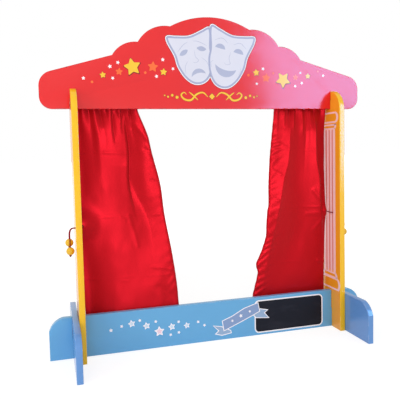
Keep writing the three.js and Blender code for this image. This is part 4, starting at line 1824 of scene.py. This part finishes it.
@dataclass
class Curtain:
    """A satin curtain: a gathered sleeve on the rod, and the cloth that hangs from its seam.

    Lengths in this class are millimetres until the mesh is made. A reach, run, fade or width is the
    distance over which something grows or dies away, and a share is a part of the whole.
    """

    side: Side
    leading_edge: tuple[Point, ...]
    folds: tuple[Fold, ...]
    tucks: tuple[Fold, ...]
    creases: tuple[Crease, ...]
    pucker_depth: float
    pucker_lean: float
    tie_reach: Point
    seed: int
    outer: float = 279.0
    outer_sway: Waves = Waves(0.8, (1.0, 34.0), 4)
    outer_sway_start: float = 500.0
    outer_sway_run: float = 60.0
    blend_end: float = 155.0
    rod_back: float = 17.0
    rod_height: float = 512.0
    sleeve_radius: float = 5.6
    sleeve_turns: Point = (-88.0, 268.0)
    sleeve_point: float = 0.38
    sleeve_room: float = 0.8
    sleeve_swell: float = 0.8
    sleeve_back_share: float = 0.35
    sleeve_front_start: float = 0.2
    sleeve_front_run: float = 1.2
    seam_drop: float = 8.0
    seam_gap: float = 0.6
    seam_fade: float = 9.0
    settle_run: float = 55.0
    hem: float = 62.0
    hem_band: float = 13.0
    hem_line_depth: float = 0.35
    hem_line_width: float = 0.9
    thickness: float = 0.45
    flat_width: float = 215.0
    sharp_from: float = 80.0
    columns: int = 134
    sleeve_rows: int = 34
    cloth_rows: int = 250
    row_spread: float = 1.12
    ruffles: tuple[Ruffle, ...] = (
        Ruffle(7.5, 1.25, 22.0, 1.3, Waves(0.35, (0.11, 1.0), 2)),
        Ruffle(3.4, 1.5, 60.0, 1.5, Waves(0.35, (0.11, 1.0), 3)),
    )
    ruffle_spread: Waves = Waves(0.5, (0.09, 1.0), 1)
    waves: tuple[Waves, ...] = (Waves(0.9, (42.0, 85.0), 7), Waves(0.22, (15.0, 24.0), 8))
    pucker_pitch: float = 19.0
    pucker_reach: float = 24.0
    pucker_wander: Waves = Waves(3.5, (34.0, 44.0), 5)
    pucker_strength: Waves = Waves(0.5, (40.0, 50.0), 6)
    hem_roll: float = 2.4
    hem_roll_reach: float = 2.2
    packing_creases: tuple[float, ...] = (411.0, 279.0, 151.0)
    packing_depth: float = 0.42
    packing_width: float = 1.9
    packing_strength: Waves = Waves(0.5, (23.0, 1.0), 20)
    packing_wander: Waves = Waves(2.5, (60.0, 1.0), 30)
    tie_place: Place = (277.0, 11.2, 267.0)

    def gathers(self, across: np.ndarray, down: np.ndarray) -> np.ndarray:
        """The gathers' offset: fine ones that fade soon under the seam, and pleats that fade later."""
        spread = 1.0 + self.ruffle_spread.offset(across, np.zeros_like(across), self.seed)
        return sum(ruffle.offset(across, down / spread, self.seed) for ruffle in self.ruffles)

    def edge_places(self, z: np.ndarray) -> tuple[np.ndarray, np.ndarray]:
        """How far out the cloth's outer and leading edges are at a height."""
        line = smooth_path(np.array(self.leading_edge), 3.0)[::-1]
        leading = np.interp(z, line[:, 1], line[:, 0])
        sway = self.outer_sway.depth + self.outer_sway.offset(z * 0.0, z, self.seed)
        outer = self.outer - sway * smooth_step((self.outer_sway_start - z) / self.outer_sway_run)
        return outer, leading

    def packing(self, x: np.ndarray, z: np.ndarray) -> np.ndarray:
        """The shallow level ridges where the cloth lay folded in its packing."""
        ridges = np.zeros_like(x)
        for number, height in enumerate(self.packing_creases):
            strength = HALF + self.packing_strength.offset(x, z * 0.0, self.seed + number)
            wander = self.packing_wander.offset(x, z * 0.0, self.seed + number)
            away = (z - height - wander) / self.packing_width
            ridges -= self.packing_depth * strength * np.exp(-(away**2))
        return ridges

    def leading_hem(self, x: np.ndarray, z: np.ndarray) -> np.ndarray:
        """The puckers along the leading hem, which rolls to the back."""
        from_edge = np.abs(x - self.side.value * self.edge_places(z)[1])
        turn = FULL_TURN * (z + self.pucker_lean * from_edge) / self.pucker_pitch
        turn = turn + self.pucker_wander.offset(x, z, self.seed)
        strength = HALF + self.pucker_strength.offset(x, z, self.seed)
        fade = np.exp(-((from_edge / self.pucker_reach) ** 2))
        roll = self.hem_roll * np.exp(-from_edge / self.hem_roll_reach)
        return self.pucker_depth * np.sin(turn) * strength * fade + roll

    def hanging_offset(self, x: np.ndarray, z: np.ndarray) -> np.ndarray:
        """How far the hanging cloth stands behind the rod's plane, without its gathers.

        It is the sum of the long folds, the creases of packing, the leading hem and slow random
        waves, which all deepen from the seam down, and of the tucks under the seam and the short
        creases; the tie cord draws the outer edge to its own end.
        """
        settle = smooth_step((self.rod_height - self.seam_drop - z) / self.settle_run)
        offset = sum(fold.offset(x, z) for fold in self.folds)
        offset = offset + sum(waves.offset(x, z, self.seed) for waves in self.waves)
        offset = (offset + self.packing(x, z) + self.leading_hem(x, z)) * settle
        offset = offset + sum(tuck.offset(x, z) for tuck in self.tucks + self.creases)
        tie_x, tie_y, tie_z = self.tie_place
        reach_x, reach_z = self.tie_reach
        away = ((x - self.side.value * tie_x) / reach_x) ** 2 + ((z - tie_z) / reach_z) ** 2
        drawn = np.exp(-away)
        return offset * (1.0 - drawn) + (tie_y - self.rod_back) * drawn

    def sleeve(self, across: np.ndarray, turn: np.ndarray) -> tuple[np.ndarray, np.ndarray]:
        """The sleeve's places: a drop shape round the rod that closes on the seam, with ridges outwards.

        Args:
            across: Share of the width from the outer edge.
            turn: Angle about the rod from the back, in radians.

        Returns:
            The places y and z.
        """
        from_seam = np.minimum(np.abs(turn + math.pi * HALF), np.abs(turn - 1.5 * math.pi))
        point = np.exp(-((from_seam / self.sleeve_point) ** 2))
        gathers = self.gathers(across, np.zeros_like(across))
        room = sum(ruffle.depth for ruffle in self.ruffles) * self.sleeve_room
        front = smooth_step((turn - self.sleeve_front_start) / self.sleeve_front_run)
        share = self.sleeve_back_share + (1.0 - self.sleeve_back_share) * front
        radius = self.sleeve_radius + (self.seam_drop - self.sleeve_radius) * point
        swell = (room - gathers * share) * (1.0 - point) * self.sleeve_swell
        y = (radius + swell) * np.cos(turn) + gathers * point
        z = (radius + swell) * np.sin(turn)
        return self.rod_back + y, self.rod_height + z

    def points(self) -> tuple[np.ndarray, np.ndarray]:
        """Places of the grid, in metres, and each point's place on the flat cloth."""
        across = np.linspace(0.0, 1.0, self.columns)[None, :]
        turns = np.radians(np.linspace(*self.sleeve_turns, self.sleeve_rows))[:, None]
        sleeve_across, sleeve_turn = np.broadcast_arrays(across, turns)
        sleeve_y, sleeve_z = self.sleeve(sleeve_across, sleeve_turn)
        start = float(sleeve_z[-1].mean()) - self.seam_gap
        down = np.linspace(0.0, 1.0, self.cloth_rows) ** self.row_spread
        hang_across, hang_z = np.broadcast_arrays(across, (start + (self.hem - start) * down)[:, None])
        outer, leading = self.edge_places(hang_z)
        hang_x = self.side.value * (outer - (outer - leading) * hang_across)
        gathers = self.gathers(hang_across, start - hang_z)
        front = (sleeve_y[-1].mean() - self.rod_back) * np.exp((hang_z - start) / self.seam_fade)
        from_line = (hang_z - self.hem - self.hem_band) / self.hem_line_width
        hem_line = self.hem_line_depth * np.exp(-(from_line**2))
        hang_y = self.rod_back + front + gathers + self.hanging_offset(hang_x, hang_z) + hem_line
        top_outer, top_leading = self.edge_places(np.full(sleeve_across.shape, start))
        sleeve_x = self.side.value * (top_outer - (top_outer - top_leading) * sleeve_across)
        grid = np.stack([
            np.concatenate([sleeve_x, hang_x]),
            np.concatenate([sleeve_y, hang_y]),
            np.concatenate([sleeve_z, hang_z]),
        ], axis=-1) * MM
        steps = np.linalg.norm(np.diff(grid, axis=0, prepend=grid[:1]), axis=-1)
        length = np.cumsum(steps.mean(axis=1))
        cloth = np.stack(np.broadcast_arrays(across * self.flat_width * MM, length[:, None]), axis=-1)
        return grid, cloth

    def build(self, satin: bpy.types.Material) -> None:
        """Builds the curtain, gives the cloth its thickness and hides the model's curtain."""
        grid, cloth = self.points()
        rows, columns = grid.shape[:2]
        shell = Shell(grid.reshape(-1, 3), grid_quads(rows, columns))
        name, way = f"{self.side.label}_curtain", self.side.value
        piece = make_piece(f"{name}_cloth", [Layer(shell)], [satin], self.sharp_from, cloth.reshape(-1, 2))
        wall = piece.modifiers.new("cloth", "SOLIDIFY")
        wall.thickness, wall.offset = self.thickness * MM, 0.0
        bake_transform(piece)
        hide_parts(name)


LEFT_CURTAIN = Curtain(
    Side.LEFT,
    leading_edge=((158, 512), (153.3, 492.6), (135.7, 449.9), (126.4, 409.9), (110, 344.4), (102.3, 278.2),
                  (89.4, 198.1), (81.4, 133.4), (78.4, 84.6), (77.3, 58)),
    folds=(
        Fold(((-184, 512), (-181, 479), (-175, 428), (-174, 397), (-175, 355), (-171, 320), (-165, 290),
              (-158, 262)), (3, 6, 8.5, 9, 7.5, 3.4, 0.8, 0), (3, 32), (2.0, 1.0)),
        Fold(((-178, 385), (-172, 352), (-161, 322), (-151, 300), (-136, 255), (-129, 187), (-128, 130)),
             (0, 3, 5, 6, 5.5, 2.5, 0), (34, 30), (1.5, 1.4)),
        Fold(((-236, 512), (-232, 480), (-226, 412), (-220, 350), (-213, 280), (-208, 200), (-200, 58)),
             (-1, -2, -2, -2, -2, -2, -2), (24, 34)),
        Fold(((-158, 512), (-152, 480), (-147, 430), (-141, 360), (-134, 300), (-124, 220), (-112, 58)),
             (0, -1, -1.5, -1.5, -1, -0.5, -0.5), (14, 22)),
        Fold(((-264, 225), (-264, 170), (-262, 118), (-264, 58)), (0, 2.5, 4, 4.5), (16, 24)),
        Fold(((-281, 512), (-281, 440), (-281, 350), (-281, 267), (-281, 190), (-281, 58)),
             (3, 6, 5, 1, 5, 7), (10, 30)),
        Fold(((-180, 512), (-180, 300), (-180, 200), (-180, 58)), (0, 6, 2, -6), (400, 400)),
    ),
    tucks=(
        Fold(((-232, 505), (-231, 497), (-230, 484), (-228, 462)), (0, 3, 3, 0), (3, 8), (2.0, 1.0)),
        Fold(((-208, 505), (-207, 497), (-206.5, 470), (-203, 430)), (0, 4.5, 4.2, 0), (2.6, 8), (2.0, 1.0)),
        Fold(((-189, 505), (-188, 497), (-187.5, 484), (-186, 450)), (0, 4.2, 4, 0), (2.6, 7), (2.0, 1.0)),
        Fold(((-172, 505), (-171, 497), (-170, 484), (-166, 456)), (0, 3.5, 3.4, 0), (2.6, 7), (2.0, 1.0)),
    ),
    creases=(
        Crease((-226, 414), (-178, 411), -0.4, 4.0),
        Crease((-185, 493), (-135, 441), -1.2, 6.0),
        Crease((-142, 419), (-126, 405), 0.8, 5.0),
        Crease((-128, 352), (-108, 342), 0.5, 5.0),
        Crease((-179, 279), (-163, 216), -0.4, 4.5),
        Crease((-197, 277), (-188, 271), -0.35, 3.0),
        Crease((-131, 168), (-84, 161), -0.5, 4.5),
        Crease((-201, 146), (-186, 144), -0.15, 3.0),
        Crease((-120, 125), (-90, 100), 0.8, 8.0),
    ),
    pucker_depth=0.3,
    pucker_lean=0.45,
    tie_reach=(30.0, 26.0),
    seed=11,
)

RIGHT_CURTAIN = Curtain(
    Side.RIGHT,
    leading_edge=((151, 512), (150, 495), (149, 479), (143.2, 425), (138.8, 381), (135.8, 330), (135, 288.6),
                  (131.8, 272.1), (129.5, 240), (128.4, 215.7), (118.1, 183), (105.2, 154), (108.8, 133),
                  (100, 95), (96.9, 80.7), (95, 58)),
    folds=(
        Fold(((189, 512), (187, 477), (185.5, 440), (182.5, 387), (171, 342), (163, 297), (153.5, 252),
              (138, 184), (127, 139), (121, 95), (118, 58)),
             (-5, -8, -9, -8, -8, -7, -5.5, -4, -3, -2, -2), (28, 22), (1.1, 1.0)),
        Fold(((215, 440), (208, 390), (206, 345), (214, 300), (212, 235), (196, 187), (186, 120)),
             (0, 2, 3.5, 3.5, 4, 4, 0), (28, 30)),
        Fold(((250, 512), (249, 477), (248.5, 420), (250, 385), (258, 339), (260, 293), (266, 245),
              (270, 200)), (-6, -12, -14, -14, -13, -9, -4, 0), (36, 5), (1.0, 2.0)),
        Fold(((281, 512), (281, 420), (281, 340), (281, 262), (281, 220), (281, 58)),
             (2, 4, 3, -2, 1, 4), (14, 10)),
        Fold(((180, 512), (180, 300), (180, 200), (180, 58)), (0, 0, 3, 7), (400, 400)),
    ),
    tucks=(
        Fold(((175, 505), (174.5, 497), (174, 486), (173, 460)), (0, -3.2, -3.2, 0), (9, 2.6), (1.0, 2.0)),
        Fold(((198, 505), (197, 497), (196, 477), (194, 450)), (0, -4.2, -4, 0), (10, 2.6), (1.0, 2.0)),
        Fold(((220, 505), (219, 497), (218.4, 470), (217, 440)), (0, -4, -3.6, 0), (10, 2.6), (1.0, 2.0)),
        Fold(((239, 505), (238.5, 497), (238, 486), (237, 460)), (0, -3, -3, 0), (9, 2.6), (1.0, 2.0)),
    ),
    creases=(
        Crease((226, 410), (248, 408), -0.4, 3.5),
        Crease((246, 316), (281, 268), -1.0, 5.0),
        Crease((232, 262), (281, 265), -0.6, 5.0),
        Crease((250, 226), (281, 262), -0.8, 5.0),
        Crease((262, 150), (279, 146), -1.2, 4.0),
        Crease((160, 425), (178, 416), -0.6, 4.0),
        Crease((144, 366), (162, 356), -0.6, 4.0),
        Crease((141, 306), (156, 297), -0.6, 4.0),
        Crease((137, 266), (151, 257), -0.6, 4.0),
        Crease((131, 230), (142, 221), -0.6, 4.0),
    ),
    pucker_depth=0.7,
    pucker_lean=-0.7,
    tie_reach=(13.0, 9.0),
    seed=37,
)


@dataclass(frozen=True)
class SoftBox:
    """A rectangular soft light.

    Attributes:
        name: Its name.
        place: Its middle.
        aim: The place that it faces.
        size: Its width and height.
        power: Its power in watts.
        hue: Its colour.
        mirrored: Whether glossy coats mirror it; it lights matt surfaces only when they don't.
        falls_on: How the names of the pieces end that it falls on, or nothing for all of them.
    """

    name: str
    place: Place
    aim: Place
    size: Point
    power: float
    hue: tuple[float, float, float] = (1.0, 0.99, 0.97)
    mirrored: bool = False
    falls_on: tuple[str, ...] = ()

    def shade(self, lamp: bpy.types.Object) -> None:
        """Keeps the light off the pieces that it doesn't fall on.

        Args:
            lamp: The light's object.
        """
        lit = bpy.data.collections.new(f"{self.name}_lit")
        for piece in bpy.data.objects:
            if piece.name.endswith(self.falls_on):
                lit.objects.link(piece)
        lamp.light_linking.receiver_collection = lit

    def build(self) -> None:
        """Builds the light, hidden from the camera."""
        light = bpy.data.lights.new(self.name, "AREA")
        light.shape, light.energy, light.color = "RECTANGLE", self.power, self.hue
        light.size, light.size_y = self.size
        lamp = bpy.data.objects.new(self.name, light)
        lamp.location = self.place
        lamp.rotation_euler = (Vector(self.aim) - Vector(self.place)).to_track_quat("-Z", "Y").to_euler()
        lamp.visible_camera = False
        lamp.visible_glossy, lamp.visible_diffuse = self.mirrored, not self.mirrored
        bpy.context.scene.collection.objects.link(lamp)
        if self.falls_on:
            self.shade(lamp)


@dataclass
class Studio:
    """Pale floor, soft world light, three soft lights, and two cards that only the gloss mirrors.

    The white card falls on the curtains, the lavender one on the boards and their prints.

    Attributes:
        world_strength: Strength of the even light from all round.
        boxes: The soft lights.
        floor_half: Half the floor's side.
        floor_glow: How bright the camera sees the floor without its shadows.
        floor_glow_share: How much of what the camera sees of the floor near the object is that glow.
        floor_white_reach: Distances between which the floor fades to that glow alone.
    """

    world_strength: float = 0.5
    boxes: tuple[SoftBox, ...] = (
        SoftBox("key_light", (-0.7, -1.9, 1.4), (0.0, 0.0, 0.35), (1.4, 1.4), 14.5),
        SoftBox("side_light", (-2.0, -1.0, 1.0), (0.0, 0.0, 0.3), (1.2, 1.2), 14.0),
        SoftBox("fill_light", (1.3, -1.7, 1.3), (0.0, 0.0, 0.35), (1.4, 1.4), 7.5),
        SoftBox("curtain_card", (0.03, -1.7, 0.37), (0.03, 0.0, 0.37), (0.5, 0.74), 16.0,
                (1.0, 1.0, 1.0), True, ("curtain_cloth",)),
        SoftBox("lavender_card", (1.85, -1.57, 0.95), (1.85, 0.0, 0.95), (1.9, 1.3), 94.0,
                (0.2, 0.5, 1.0), True, ("_painted", "_print")),
    )
    floor_half: float = 30.0
    floor_glow: float = 1.3
    floor_glow_share: float = 0.6
    floor_white_reach: Point = (0.6, 1.5)

    def build(self) -> None:
        """Builds the world, the soft lights and the floor."""
        self.build_world()
        for box in self.boxes:
            box.build()
        self.build_floor()
        bpy.context.scene.view_settings.view_transform = "Standard"

    def build_world(self) -> None:
        """Builds a world that is white where it is seen or mirrored, and softer where it lights."""
        world = bpy.data.worlds.new("studio")
        world.use_nodes = True
        world.node_tree.nodes.clear()
        nodes = ShaderNodes(world.node_tree)
        soft = nodes.add("Background", {"Color": WHITE_LIGHT, "Strength": self.world_strength})
        plain = nodes.add("Background", {"Color": WHITE_LIGHT, "Strength": 1.0})
        surface = nodes.add("MixShader", {0: self.seen(nodes), 1: soft.outputs[0], 2: plain.outputs[0]})
        nodes.add("OutputWorld", {"Surface": surface.outputs[0]})
        bpy.context.scene.world = world

    def seen(self, nodes: ShaderNodes) -> bpy.types.NodeSocket:
        """1 on rays from the camera or from a glossy surface, and else 0."""
        path = nodes.add("LightPath").outputs
        return nodes.maths("MAXIMUM", path["Is Camera Ray"], path["Is Glossy Ray"])

    def build_floor(self) -> None:
        """Builds a floor that the camera sees white, with the object's soft shadow."""
        material, nodes, shader = new_material("pale_floor")
        matt = {"Base Color": (0.9, 0.9, 0.9, 1.0), "Roughness": 0.9, "Specular IOR Level": 0.0}
        nodes.feed_all(shader.inputs, matt)
        white = nodes.add("Emission", {"Color": WHITE_LIGHT, "Strength": self.floor_glow})
        away = nodes.add("VectorMath", {0: nodes.place()}, operation="LENGTH").outputs["Value"]
        glow = nodes.span(away, *self.floor_white_reach, self.floor_glow_share, 1.0)
        share = nodes.maths("MULTIPLY", self.seen(nodes), glow)
        mixed = nodes.add("MixShader", {0: share, 1: shader.outputs[0], 2: white.outputs[0]})
        nodes.feed(nodes.tree.nodes["Material Output"].inputs["Surface"], mixed.outputs[0])
        corners = self.floor_half * np.array([[-1, -1, 0], [1, -1, 0], [1, 1, 0], [-1, 1, 0]])
        make_piece("floor", [Layer(Shell(corners, np.array([[0, 1, 2, 3]])))], [material])


def main() -> None:
    """Builds the camera, the cords, the boards, the rod, the curtains and the studio, in that order."""
    logging.basicConfig(level=logging.INFO, format="%(message)s")
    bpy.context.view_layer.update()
    PhotoCamera().build()
    twine, beads = Twine().material(), BEAD_PAINT.material()
    for side in Side:
        TieCord(side).build(twine, beads)
    sizes = BoardSizes()
    HeaderBoard(sizes).build()
    FrontRail(sizes).build()
    for side in Side:
        Upright(sizes, side).build()
        Foot(sizes, side).build()
    CurtainRod().build()
    satin = Satin().material()
    for curtain in (LEFT_CURTAIN, RIGHT_CURTAIN):
        curtain.build(satin)
    Studio().build()


if __name__ == "__main__":
    main()
